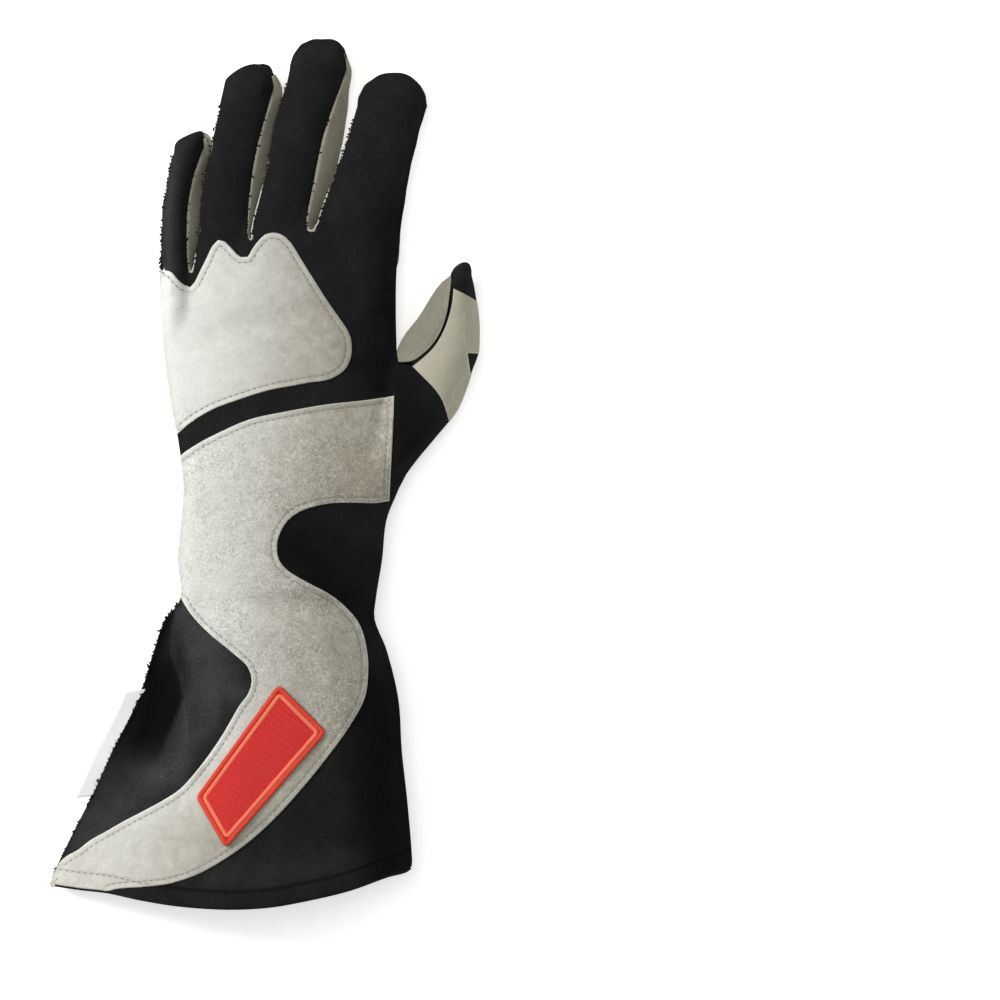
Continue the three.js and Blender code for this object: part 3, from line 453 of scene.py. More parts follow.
def smooth_line(points, step=2.5):
    """A smooth open line through points, as an array of x and y."""
    p = [np.array(q[:2], float) for q in points]
    p = [2 * p[0] - p[1], *p, 2 * p[-1] - p[-2]]
    line = []
    for quad in zip(p, p[1:], p[2:], p[3:]):
        k = np.cumsum([0] + [math.sqrt(math.dist(m, n)) for m, n in zip(quad, quad[1:])])
        count = max(1, round(math.dist(quad[1], quad[2]) / step))
        for t in np.linspace(k[1], k[2], count, endpoint=False):
            ends = list(quad)
            for reach in (1, 2):
                ends = [
                    mix(a, b, (t - k[i]) / (k[i + reach] - k[i]))
                    for i, (a, b) in enumerate(zip(ends, ends[1:]))
                ]
            line.append(mix(ends[0], ends[1], (t - k[1]) / (k[2] - k[1])))
    line.append(p[-2])
    return np.array(line)


def chain(*lines):
    return np.vstack(lines)


def patch_ring(points):
    """A closed outline, smooth between its sharp corners."""
    corners = [i for i, q in enumerate(points) if len(q) > 2]
    start = corners[0] if corners else 0
    ring = [*points[start:], *points[:start], points[start]]
    line, run = [], [ring[0]]
    for i, q in enumerate(ring[1:]):
        run.append(q)
        if len(q) > 2 or i == len(ring) - 2:
            line.extend(smooth_line(run)[:-1])
            run = [q]
    return np.array(line)


def edge_line(rows, column, start, stop, step=3.0, grow=0.0):
    """One edge of a table's outline between two heights of y."""
    count = max(2, round(abs(stop - start) / step) + 1)
    ys = np.linspace(start, stop, count)
    return np.column_stack([along(rows, ys, column) + grow, ys])


def limb_line(limb, right_from, left_to, grow=0.0):
    """Up a limb's right edge, round its tip and down its left edge."""
    end, (tip_x, tip_y) = limb.rows["y"][-1], limb.tip
    turn = np.radians(np.linspace(0, 90, 13))[1:]
    cap = []
    for side, sign, square in zip(("left", "right"), (-1, 1), limb.square):
        edge = along(limb.rows, end, side) + sign * grow
        x = mix(tip_x, edge, np.clip(np.cos(turn), 0, 1) ** square)
        cap.append(np.column_stack([x, mix(end, tip_y + grow, np.sin(turn) ** square)]))
    right = edge_line(limb.rows, "right", right_from, end, grow=grow)
    left = edge_line(limb.rows, "left", end, left_to, grow=-grow)
    return chain(right, cap[1], cap[0][::-1][1:], left)


def finger_line(name, side, right_from, left_to, grow=0.0):
    return limb_line(FINGERS[name][side], right_from, left_to, grow)


def slot_end(i, side="back"):
    """The rounded end of the slot between two fingers, from right to left."""
    turn = np.radians(np.linspace(0, 180, 7))
    x, y = CROTCHES[i]
    shifted, half = SLOTS[side][i - 1]
    return np.column_stack([x + shifted + half * np.cos(turn), y + half * (1 - np.sin(turn))])


def fingers_line(side, index_from, little_to):
    """The fingers' outline from the index's outer edge to the little finger's."""
    return chain(
        finger_line("index", side, index_from, 60),
        slot_end(3, side),
        finger_line("middle", side, 60, 54.5),
        slot_end(2, side),
        finger_line("ring", side, 54, 40),
        slot_end(1, side),
        finger_line("little", side, 39.5, little_to),
    )


HEM_LINE = smooth_line(HEM, 3)
LEFT_SIDE = edge_line(TRUNK, "left", 32, -243)
THUMB_CAP = limb_line(THUMB, -57, -0.5)
APEX = int(np.argmax(THUMB_CAP[:, 1]))
TIP_SPLIT = APEX + 1 + int(np.argmax(THUMB_CAP[APEX + 1 :, 1] < 35.2))
OUTER_EDGE = THUMB_CAP[: APEX + 1]
OUTER_FOLD = chain(edge_line(TRUNK, "right", -91.7, -64), THUMB_CAP[:TIP_SPLIT])
INNER_FOLD = THUMB_CAP[TIP_SPLIT - 1 :]
THUMB_TOP_LINE = smooth_line([INNER_FOLD[0], *THUMB_TOP_SEAM])
THUMB_LINE = smooth_line([INNER_FOLD[0], *THUMB_SEAM])
GUSSET_LINE = smooth_line(GUSSET_SEAM)
WRIST_LINE = smooth_line(WRIST_SEAM)


def shift(line, dx, dy):
    return line + np.array([dx, dy])


def ragged(ring, amount=0.35):
    """A raw cut outline, uneven by a fraction of a millimetre."""
    ahead = np.roll(ring, -1, 0) - np.roll(ring, 1, 0)
    ahead /= np.maximum(np.hypot(*ahead.T), 1e-6)[:, None]
    x, y = ring.T
    off = amount * (mottle(x, y, 2.6, 21) + 0.6 * mottle(x, y, 5, 22)) * smooth(30, 45, y)
    return ring + off[:, None] * np.column_stack([ahead[:, 1], -ahead[:, 0]])


def back_plan():
    return chain(
        HEM_LINE,
        edge_line(TRUNK, "right", -235, -93),
        OUTER_FOLD,
        shift(THUMB_TOP_LINE[1:], 0.9, 0),
        [(60.4, -7), (54.6, -6.6)],
        edge_line(TRUNK, "right", -3, 38),
        fingers_line("back", 42, 36),
        LEFT_SIDE,
    )


def thumb_wrap_plan():
    """The back panel's wrap under the thumb, inside the thumb's outer fold."""
    return chain(OUTER_FOLD, THUMB_LINE[1:], [(34.6, -88.7), (41, -90.3)])


def palm_plan():
    return chain(
        edge_line(TRUNK, "right", 4, 38),
        fingers_line("palm", 42, 36),
        edge_line(TRUNK, "left", 32, -88),
        shift(smooth_line(WRIST_SEAM[:4]), 0, 0.4),
        [(21.2, -72), (22.6, -59.6)],
        shift(GUSSET_LINE[::-1], -0.5, 0.3)[1:],
    )


def cuff_plan():
    right, left = edge_line(TRUNK, "right", -235, -94), LEFT_SIDE[LEFT_SIDE[:, 1] < -93]
    return chain(HEM_LINE, right, WRIST_LINE[::-1], left)


def thumb_front_top_plan():
    return chain([(54.4, -5.4), (59.6, -5.2)], THUMB_TOP_LINE[::-1][1:-1], INNER_FOLD)


def thumb_front_under_plan():
    """From the crotch down the gusset seam, and back up the seam under the thumb."""
    heel = THUMB_LINE[THUMB_LINE[:, 1] > -58][::-1]
    return chain(GUSSET_LINE, shift(heel[:-1], -0.3, 0), INNER_FOLD)


def distance(points, *lines):
    """Distance of each point to the nearest of some open lines."""
    best = np.full(len(points), 1e9)
    for line in lines:
        for a, b in zip(line, line[1:]):
            d = b - a
            t = np.clip(((points - a) @ d) / max(float(d @ d), 1e-9), 0, 1)
            best = np.minimum(best, np.hypot(*(points - a - t[:, None] * d).T))
    return best


def off(*lines):
    """A function of x and y for the distance to some lines."""
    return lambda x, y: distance(np.column_stack([x, y]), *lines)


def closed(ring):
    return chain(ring, ring[:1])


SEAM_EDGES = [
    LEFT_SIDE,
    finger_line("little", "back", 92, 34),
    finger_line("ring", "back", 119, 119),
    finger_line("middle", "back", 127, 127),
    finger_line("index", "back", 40, 111),
    edge_line(TRUNK, "right", -235, -93),
    edge_line(TRUNK, "right", 4, 40),
]


class Track:
    """A line in the plan, read by the length along it. It is closed if it ends where it began."""

    def __init__(self, line):
        self.line = line
        self.lengths = np.concatenate([[0], np.cumsum(np.hypot(*np.diff(line, axis=0).T))])
        self.size = self.lengths[-1]

    def read(self, at, values=None):
        values = self.line if values is None else values
        return np.array([np.interp(at, self.lengths, values[:, k]) for k in (0, 1)])

    def beside(self, at, out):
        """Points some way out to the line's right."""
        line = self.line
        if np.array_equal(line[0], line[-1]):
            ahead = closed(unit(np.roll(line[:-1], -1, 0) - np.roll(line[:-1], 1, 0)))
        else:
            ahead = unit(np.gradient(line, axis=0))
        (x, y), (dx, dy) = self.read(at), self.read(at, ahead)
        return x + dy * out, y - dx * out


def even(line, count):
    track = Track(line)
    return track.read(np.linspace(0, track.size, count)).T


def along_line(line, pitch):
    """Points at an even pitch along a line, with the direction at each."""
    track = Track(line)
    at = np.arange(pitch / 2, track.size, pitch)
    ahead = track.read(at + 0.6) - track.read(at - 0.6)
    return track.read(at).T, np.arctan2(ahead[1], ahead[0])


# Heights that the panels are given


def crease(x, y):
    """How deep the cloth falls beside the cuff's crease, as a share of the depth."""
    ys, xs = np.array(CREASE).T
    left = np.maximum(np.interp(y, ys, xs) - x, 0) / CREASE_WIDTH
    share = smooth(-190, -160, y) * smooth(-113, -128, y)
    return share * left * np.exp(1 - left)


def wrinkles(x, y):
    return 0.28 * mottle(x, y, 15, 3) + 0.12 * mottle(x, y, 6, 5)


def folded(x, y, upper):
    """A panel's outer height, rounded over the thumb's folds and pinched at the seams."""
    top = back_top(x, y) + wrinkles(x, y) - CREASE_DEPTH * crease(x, y)
    under = palm_under(x, y) + 0.5 * wrinkles(x + 40, y)
    middle = (top + under) / 2
    reach = np.clip(off(OUTER_FOLD, INNER_FOLD)(x, y) / 4.5, 0, 1)
    round_over = np.sqrt(1 - (1 - reach) ** 2)
    closing = round_over * np.exp(-((off(*SEAM_EDGES)(x, y) / 2.6) ** 2))
    if upper:
        return mix(middle + (top - middle) * round_over, middle + SEAM_HALF, closing)
    return mix(middle - (middle - under) * round_over, middle - SEAM_HALF, closing)


def back_height(x, y):
    return folded(x, y, True)


def palm_height(x, y):
    return folded(x, y, False)


def raised(height, rise):
    """A height function, raised by some millimetres."""
    return lambda x, y: height(x, y) + rise


# Meshes


def spaced(ring, least=0.4):
    """A closed outline without points that lie close together or double back."""
    kept = []
    for point in ring:
        if not kept or math.dist(point, kept[-1]) > least:
            kept.append(point)
    if math.dist(kept[0], kept[-1]) < least:
        kept.pop()
    while True:
        p = np.array(kept)
        back, ahead = p - np.roll(p, 1, 0), np.roll(p, -1, 0) - p
        turn = (back * ahead).sum(1) / (np.hypot(*back.T) * np.hypot(*ahead.T))
        doubled = np.flatnonzero(turn < -0.97)
        if not len(doubled):
            return p
        del kept[doubled[0]]


def free_runs(ring, *caught):
    """The parts of a closed outline that no seam catches, as open lines."""
    free = distance(ring, *caught) > CAUGHT_WITHIN
    if free.all():
        return [closed(ring)]
    order = np.roll(np.arange(len(ring)), -int(np.argmin(free)))
    runs, run = [], []
    for i, after in zip(order, np.roll(order, -1)):
        if free[i] or free[after] or run:
            run.append(i)
        if run and not free[i] and len(run) > 1:
            runs.append(ring[run])
            run = [i] if free[after] else []
    return runs


def outline_face(ring):
    """A new mesh with one face over a plan."""
    bm = bmesh.new()
    face = bm.faces.new([bm.verts.new((x, y, 0)) for x, y in ring])
    bm.normal_update()
    return bm, face


def inset_line(ring, inset):
    """A closed outline moved inwards."""
    bm, face = outline_face(spaced(ring))
    bmesh.ops.inset_region(
        bm, faces=[face], thickness=inset, use_even_offset=True, use_boundary=True
    )
    line = np.array([v.co[:2] for v in face.verts])
    bm.free()
    return closed(line[abs(distance(line, closed(ring)) - inset) < 0.15 * inset])


def cut_sheet(ring, height, facing=1, rim=(0.5, 1.0), drop=0.0, step=GRID_STEP):
    """A sheet over a plan, cut into small squares and laid on a height."""
    ring = spaced(ring)
    bm, face = outline_face(ring)
    if face.normal.z < 0:
        bmesh.ops.reverse_faces(bm, faces=[face])
    for width in rim:
        bmesh.ops.inset_region(bm, faces=[face], thickness=width, use_boundary=True)
    low, high = ring.min(0), ring.max(0)
    for axis, normal in ((0, (1, 0, 0)), (1, (0, 1, 0))):
        for at in np.arange(math.ceil(low[axis] / step) * step, high[axis], step):
            bmesh.ops.bisect_plane(
                bm,
                geom=bm.verts[:] + bm.edges[:] + bm.faces[:],
                dist=1e-5,
                plane_co=Vector(normal) * float(at),
                plane_no=normal,
            )
    plan = np.array([v.co[:2] for v in bm.verts])
    edge = distance(plan, closed(ring))
    z = height(*plan.T) - facing * drop * np.clip(1 - edge / ROLLED_EDGE, 0, 1)
    for v, level in zip(bm.verts, z):
        v.co.z = level
    if facing < 0:
        bmesh.ops.reverse_faces(bm, faces=bm.faces[:])
    return bm


def lofted(across, rounds, place, close=False):
    """A grid placed by a function of how far along and across it; closed makes a tube of it."""
    bm = bmesh.new()
    bmesh.ops.create_grid(bm, x_segments=across, y_segments=rounds, size=0.5)
    uv = np.array([v.co[:2] for v in bm.verts]) + 0.5
    layer = bm.loops.layers.uv.new("UVMap")
    for face in bm.faces:
        for loop in face.loops:
            loop[layer].uv = (loop.vert.co.x + 0.5, loop.vert.co.y + 0.5)
    for v, point in zip(bm.verts, place(uv[:, 0], uv[:, 1])):
        v.co = point
    if close:
        bmesh.ops.remove_doubles(bm, verts=bm.verts[:], dist=1e-4)
        bmesh.ops.recalc_face_normals(bm, faces=bm.faces[:])
    return bm


def tube(path, height, step, sides, swell):
    """A round thread along a path; swell gives how wide and how tall it is."""
    track = Track(path)

    def place(u, v):
        at, angle = u * track.size, 2 * np.pi * v
        wide, tall = swell(u, at, angle)
        x, y = track.beside(at, wide * np.cos(angle))
        return np.column_stack([x, y, height(*track.read(at)) + tall * np.sin(angle)])

    return lofted(int(track.size / step), sides, place, close=True)


def joined(*parts, weld=0.0):
    """Several meshes as one, with points that meet welded."""
    whole = bmesh.new()
    for part in parts:
        mesh = mesh_of("part", part)
        whole.from_mesh(mesh)
        bpy.data.meshes.remove(mesh)
    if weld:
        bmesh.ops.remove_doubles(whole, verts=whole.verts[:], dist=weld)
    return whole


def mesh_of(name, bm):
    mesh = bpy.data.meshes.new(name)
    bm.to_mesh(mesh)
    bm.free()
    return mesh


def placed(name, data):
    """A new object in the scene."""
    obj = bpy.data.objects.new(name, data)
    bpy.context.scene.collection.objects.link(obj)
    return obj


def piece(name, bm, finish, replaces=(), wall=0.0):
    """Makes a finished object of a mesh in millimetres."""
    bmesh.ops.scale(bm, vec=(MM, MM, MM), verts=bm.verts[:])
    mesh = mesh_of(name, bm)
    mesh.shade_smooth()
    mesh.set_sharp_from_angle(angle=math.radians(SHARP_ANGLE))
    mesh.materials.append(made_of(finish))
    obj = placed(name, mesh)
    if wall:
        solid = obj.modifiers.new("Wall", "SOLIDIFY")
        solid.thickness = wall * MM
        solid.offset = -1
        solid.use_rim = True
    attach(obj, ROOT)
    if replaces:
        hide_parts(*replaces)
    return obj


def record(obj, **values):
    """Keeps numbers for the material at each point: functions of x and y, or constants."""
    co = np.zeros(len(obj.data.vertices) * 3)
    obj.data.vertices.foreach_get("co", co)
    x, y = co.reshape(-1, 3)[:, :2].T / MM
    for name, value in values.items():
        attribute = obj.data.attributes.new(name, "FLOAT", "POINT")
        found = value(x, y) if callable(value) else np.full(len(x), float(value))
        attribute.data.foreach_set("value", found)


def painted_suede_light(x, y):
    """Painted light on the back's suede: lightest at the glove's left side, a little darker
    towards the cuff.
    """
    tail = smooth(-185, -230, y)
    return smooth(36, -50, x + 30 * tail) * (1 - 0.4 * tail) - 0.12 * smooth(-20, -60, y)


def fibre_share(x, y):
    """How hairy the back's suede is: most over the wrist."""
    return 0.25 + 0.85 * smooth(-14, -55, y) * smooth(-215, -165, y)


def cloth_painted_light(x, y):
    """How much painted light or shade the cloth gets, in stops: painted shade is darkest beside
    the crease.
    """
    ys, xs = np.array(CREASE).T
    left = np.interp(y, ys, xs) - x - 0.5 * np.maximum(-160 - y, 0)
    # Painted shade in the cloth beside the crease
    crease_shade = smooth(-196, -168, y) * smooth(-112, -124, y)
    crease_shade = crease_shade * smooth(0.0, 1.8, left) * smooth(46, 14, left)
    return np.clip(fold_rise(PAINTED_CLOTH_LIGHT, x, y) - 3.0 * crease_shade, -2.4, 1.5)


class Copies:
    """Many small copies of one template in one mesh."""

    def __init__(self, template):
        self.bm = bmesh.new()
        self.points = np.array([v.co for v in template.verts])
        self.mesh = mesh_of("template", template)

    def add(self, matrix):
        turn = np.array(matrix)
        points = self.points @ turn[:3, :3].T + turn[:3, 3]
        self.mesh.vertices.foreach_set("co", points.ravel())
        self.bm.from_mesh(self.mesh)

    def row(self, line, height, edges=(), lift=0.0, pitch=None):
        """A row of copies along a line, laid on a height, where some edges have their seam."""
        points, headings = along_line(line, pitch or settings().stitch_pitch / MM)
        if len(edges):
            sewn = abs(distance(points, *edges) - PATCH_STITCH) < 0.3
            points, headings = points[sewn], headings[sewn]
        for matrix in slope_frames(points, headings, height, lift):
            self.add(matrix)


def sew(name, size, finish, rows):
    """Makes a piece of rows of stitches, each a small rounded bead of thread."""
    bm = bmesh.new()
    bmesh.ops.create_uvsphere(bm, u_segments=6, v_segments=5, radius=0.5)
    bmesh.ops.rotate(bm, matrix=Matrix.Rotation(QUARTER_TURN, 3, "Y"), verts=bm.verts[:])
    bmesh.ops.scale(bm, vec=size, verts=bm.verts[:])
    copies = Copies(bm)
    for row in rows:
        copies.row(*row)
    piece(name, copies.bm, finish)


def slope_frames(points, headings, height, lift):
    """Matrices that lay things on a height function, turned to its slope and their headings."""
    x, y = points.T
    h = 0.8
    xs, ys = np.concatenate([x, x + h, x - h, x, x]), np.concatenate([y, y, y, y + h, y - h])
    z = height(xs, ys).reshape(5, -1)
    frames = []
    for k, heading in enumerate(headings):
        normal = Vector((z[2, k] - z[1, k], z[4, k] - z[3, k], 2 * h)).normalized()
        ahead = Vector((math.cos(heading), math.sin(heading), 0))
        ahead = (ahead - normal * ahead.dot(normal)).normalized()
        turn = Matrix((ahead, normal.cross(ahead), normal)).transposed().to_4x4()
        frames.append(Matrix.Translation(Vector((x[k], y[k], z[0, k])) + normal * lift) @ turn)
    return frames


# Materials

# Blender's bands lie about 1 / 3.14 of a wave's scale apart
WAVE_SCALE = 3.14
LINT_COLOR = (0.16, 0.155, 0.145)
STAIN_COLOR = (0.27, 0.215, 0.13)
SOCKETS = {
    "color": "Base Color", "roughness": "Roughness", "sheen": "Sheen Weight",
    "sheen_rough": "Sheen Roughness", "sheen_tint": "Sheen Tint", "normal": "Normal",
    "specular": "Specular IOR Level",
}


def shade(color, k):
    """A colour made k times as light."""
    return tuple(min(1.0, k * c) for c in color)


class Shader:
    """A procedural material under construction."""

    def __init__(self, name):
        self.material = bpy.data.materials.new(name)
        self.material.use_nodes = True
        self.tree = self.material.node_tree
        self.surface = self.tree.nodes["Principled BSDF"]
        self.place = self.node("ShaderNodeTexCoord").outputs["Object"]

    def node(self, kind, inputs=None, **settings):
        made = self.tree.nodes.new(kind)
        for key, value in settings.items():
            setattr(made, key, value)
        for key, value in (inputs or {}).items():
            self.put(made.inputs[key], value)
        return made

    def put(self, socket, value):
        if isinstance(value, bpy.types.NodeSocket):
            self.tree.links.new(value, socket)
        else:
            socket.default_value = value

    def set(self, **values):
        for key, value in values.items():
            self.put(self.surface.inputs[SOCKETS[key]], value)

    def noise(self, size, detail=2.0, rough=0.5, distortion=0.0):
        """Noise with features of a size in millimetres."""
        inputs = {
            "Vector": self.place, "Scale": 1 / (size * MM), "Detail": detail,
            "Roughness": rough, "Distortion": distortion,
        }
        return self.node("ShaderNodeTexNoise", inputs).outputs["Fac"]

    def wave(self, size, turn=0.0, distortion=0.0):
        """Bands about a size in millimetres apart."""
        turned = self.node("ShaderNodeMapping", {"Vector": self.place, "Rotation": (0, 0, turn)})
        inputs = {
            "Vector": turned.outputs[0], "Scale": 1 / (size * MM) / WAVE_SCALE,
            "Distortion": distortion,
        }
        return self.node("ShaderNodeTexWave", inputs).outputs["Fac"]

    def ramp(self, value, *stops):
        """A grey value between stops of (position, value)."""
        made = self.node("ShaderNodeValToRGB", {"Fac": value})
        elements = made.color_ramp.elements
        for element, (position, grey) in zip(elements, stops):
            element.position = position
            element.color = (grey, grey, grey, 1)
        for position, grey in stops[len(elements) :]:
            elements.new(position).color = (grey, grey, grey, 1)
        return made.outputs["Color"]

    def math(self, operation, a, b=0.0):
        made = self.node("ShaderNodeMath", operation=operation)
        self.put(made.inputs[0], a)
        self.put(made.inputs[1], b)
        return made.outputs[0]

    def times(self, a, b):
        return self.math("MULTIPLY", a, b)

    def blend(self, share, a, b):
        made = self.node("ShaderNodeMix", data_type="RGBA")
        for place, value in ((0, share), (6, a), (7, b)):
            self.put(made.inputs[place], (*value, 1) if isinstance(value, tuple) else value)
        return made.outputs[2]

    def tint(self, tone, color, value, *stops):
        """Lays a colour over a tone, as much as a value's ramp says."""
        return self.blend(self.ramp(value, *stops), tone, color)

    def bump(self, *layers):
        """Bumps of (height value, depth in millimetres) laid over each other."""
        normal = None
        for value, depth in layers:
            made = self.node("ShaderNodeBump", {"Height": value, "Distance": depth * MM})
            made.inputs["Strength"].default_value = 1.0
            if normal:
                self.put(made.inputs["Normal"], normal)
            normal = made.outputs[0]
        self.set(normal=normal)

    def attribute(self, name):
        return self.node("ShaderNodeAttribute", attribute_name=name).outputs["Fac"]

    def groove(self, at, width=0.45, name="edge"):
        """1 on a line at some distance in from a piece's edge, and 0 away from it."""
        away = self.math("ABSOLUTE", self.math("SUBTRACT", self.attribute(name), at))
        return self.ramp(self.math("DIVIDE", away, width * 2), (0, 1), (0.3, 0.7), (1.0, 0))


def black_cloth(name):
    """Felted cloth with ribs and lint, lighter or darker by the painted light and shade kept in
    an attribute.
    """
    s, base = Shader(name), color("cloth_color")
    rib = s.times(s.wave(0.9), s.wave(0.7, QUARTER_TURN))
    nap = s.noise(0.9, 4, 0.7, 0.8)
    fine = s.noise(0.35, 3, 0.7)
    drift = s.noise(11, 3)
    tone = s.tint(shade(base, 0.45), shade(base, 1.9), nap, (0.3, 0), (0.72, 1))
    tone = s.tint(tone, shade(base, 3.2), fine, (0.45, 0), (0.75, 0.5))
    tone = s.tint(tone, shade(base, 2.3), drift, (0.4, 0), (0.7, 0.4))
    specks = s.node(
        "ShaderNodeTexVoronoi", {"Vector": s.place, "Scale": 1 / (4.5 * MM), "Randomness": 1.0}
    )
    lint = s.ramp(specks.outputs["Distance"], (0.03, 1), (0.05, 0))
    some = s.ramp(s.noise(9, 1), (0.5, 0), (0.58, 0.4))
    tone = s.blend(s.times(lint, some), tone, LINT_COLOR)
    band = s.times(s.groove(HEM_STITCH, 0.7, "hem"), 0.6)
    # Painted light and shade: the cloth's tone is scaled by two to the power of the stops on each
    # point
    light = s.math("POWER", 2.0, s.attribute("nap"))
    scaled = s.node("ShaderNodeVectorMath", {"Vector": tone}, operation="SCALE")
    s.put(scaled.inputs["Scale"], s.times(light, s.math("SUBTRACT", 1.0, band)))
    s.set(
        color=scaled.outputs[0], roughness=0.97, sheen=0.02, sheen_rough=0.5,
        sheen_tint=(0.6, 0.6, 0.64, 1), specular=0.03,
    )
    s.bump((drift, 0.6), (band, -0.6), (rib, 0.1), (nap, 0.35), (fine, 0.12))
    return s.material


def suede(name, light, dark, stain=None, sheen=0.03, groove_at=PATCH_STITCH, depth=0.3):
    """Napped leather: lighter by the painted light kept in an attribute, with fibres by its
    "hair".
    """
    s = Shader(name)
    bright, deep = shade(light, 1.5), shade(dark, 0.66)
    grain = s.noise(0.5, 3, 0.7)
    fibres = s.noise(2.0, 3, 0.6, 2.2)
    brushed = s.noise(5, 3, 0.6, 0.6)
    patches = s.noise(22, 3, 0.6)
    hair = s.times(s.attribute("hair"), s.ramp(s.noise(30, 2, 0.5), (0.34, 0.5), (0.6, 1)))
    drift = s.times(s.math("SUBTRACT", patches, 0.5), 0.26)
    # Painted light: the lit and shaded suede colours are blended by the painted light on each
    # point
    lit = s.math("ADD", s.attribute("brushed"), drift)
    tone = s.tint(dark, light, lit, (0, 0), (1, 1))
    tone = s.tint(tone, bright, brushed, (0.35, 0), (0.7, 0.16))
    tone = s.blend(s.times(s.ramp(fibres, (0.48, 0), (0.68, 0.3)), hair), tone, bright)
    tone = s.blend(s.times(s.ramp(fibres, (0.34, 0.5), (0.5, 0)), hair), tone, deep)
    tone = s.tint(tone, deep, grain, (0.3, 0.2), (0.6, 0))
    line = s.math("MAXIMUM", s.groove(groove_at), s.groove(HEM_STITCH, 0.6, "hem"))
    tone = s.blend(s.times(line, 0.22), tone, shade(dark, 0.5))
    tone = s.tint(tone, bright, s.math("DIVIDE", s.attribute("edge"), 1.6), (0, 0.4), (0.5, 0))
    if stain:
        *middle, reach = (size * MM for size in stain)
        spot = s.node("ShaderNodeVectorMath", operation="DISTANCE")
        s.put(spot.inputs[0], s.place)
        s.put(spot.inputs[1], middle)
        share = s.math("DIVIDE", spot.outputs["Value"], reach)
        tone = s.tint(tone, STAIN_COLOR, share, (0, 0.3), (1, 0))
    s.set(color=tone, roughness=0.95, sheen=sheen, sheen_rough=0.5, specular=0.06)
    s.bump(
        (patches, 0.6), (line, -0.2), (brushed, depth), (s.times(fibres, hair), depth * 1.3),
        (grain, depth * 0.5),
    )
    return s.material


def thumb_suede(name, k):
    """The thumb's suede made k times as light, without a groove; a darker copy is painted shade.
    """
    light, dark = shade((0.43, 0.41, 0.325), k), shade((0.35, 0.332, 0.258), k)
    return suede(name, light, dark, groove_at=-9, depth=0.22)


def thread(name, tone, roughness=0.75):
    s = Shader(name)
    twist = s.noise(0.35)
    tone = s.tint(shade(tone, 0.75), shade(tone, 1.2), twist, (0.3, 0), (0.7, 1))
    s.set(color=tone, roughness=roughness, specular=0.15)
    s.bump((twist, 0.12))
    return s.material


def embroidery(name):
    """Rows of satin stitch across the badge."""
    s, base = Shader(name), color("badge_color")
    turn = -math.radians(BADGE_TURN)
    rows = s.wave(0.62, turn + QUARTER_TURN, 0.8)
    across = s.wave(2.6, turn, 1.2)
    ends = s.noise(1.1, 3, 0.6)
    tone = s.tint(shade(base, 0.82), shade(base, 1.25), rows, (0.2, 0), (0.7, 1))
    tone = s.tint(tone, shade(base, 0.6), ends, (0.35, 0.3), (0.6, 0))
    s.set(color=tone, roughness=0.6, specular=0.25)
    s.bump((rows, 0.25), (across, 0.12), (ends, 0.25))
    return s.material


def satin(name):
    s = Shader(name)
    weave = s.times(s.wave(0.4), s.wave(0.4, QUARTER_TURN))
    tone = s.tint((0.64, 0.64, 0.63), (0.76, 0.76, 0.75), weave, (0.2, 0), (0.8, 1))
    s.set(color=tone, roughness=0.45, sheen=0.2, specular=0.45)
    s.bump((weave, 0.06), (s.noise(6), 0.3))
    return s.material


def plain_paper(name):
    """The floor's paper, which glows a little so that shadows on it stay soft."""
    s, base = Shader(name), color("floor_color")
    s.set(color=s.blend(s.noise(120), shade(base, 0.99), base), roughness=0.9, specular=0.1)
    s.surface.inputs["Emission Color"].default_value = (1, 1, 1, 1)
    s.surface.inputs["Emission Strength"].default_value = 0.5
    return s.material


FINISHES = {
    "napped_cloth": black_cloth,
    "back_suede": lambda name: suede(
        name, color("suede_lit_side"), color("suede_shaded_side"), stain=STAIN
    ),
    "palm_suede": lambda name: suede(
        name, (0.34, 0.32, 0.265), (0.24, 0.222, 0.175), depth=0.22
    ),
    "dark_suede": lambda name: suede(
        name, (0.019, 0.019, 0.0185), (0.011, 0.011, 0.011), sheen=0.02, depth=0.2
    ),
    # Lit and shaded copies of the thumb's suede: the front's darker copy is painted shade
    "thumb_front_suede": lambda name: thumb_suede(name, 0.52),
    "thumb_patch_suede": lambda name: thumb_suede(name, 1.0),
    "black_thread": lambda name: thread(name, (0.006, 0.006, 0.0065)),
    "grey_thread": lambda name: thread(name, (0.22, 0.21, 0.18)),
    "cut_suede": lambda name: thread(name, (0.55, 0.54, 0.48)),
    "badge_rim_thread": lambda name: thread(name, (0.58, 0.055, 0.03), 0.6),
    "badge_line_thread": lambda name: thread(name, (0.80, 0.17, 0.10), 0.6),
    "badge_rows": embroidery,
    "white_satin": satin,
    "floor_paper": plain_paper,
}


def made_of(name):
    """A material by its name, made the first time it is used."""
    return bpy.data.materials.get(name) or FINISHES[name](name)


# Settings


def length_setting(name, description, default, low, high):
    return FloatProperty(
        name=name, description=description, default=default, min=low, max=high,
        subtype="DISTANCE", unit="LENGTH", precision=5,
    )


def color_setting(name, description, default):
    return FloatVectorProperty(
        name=name, description=description, subtype="COLOR", default=default
    )


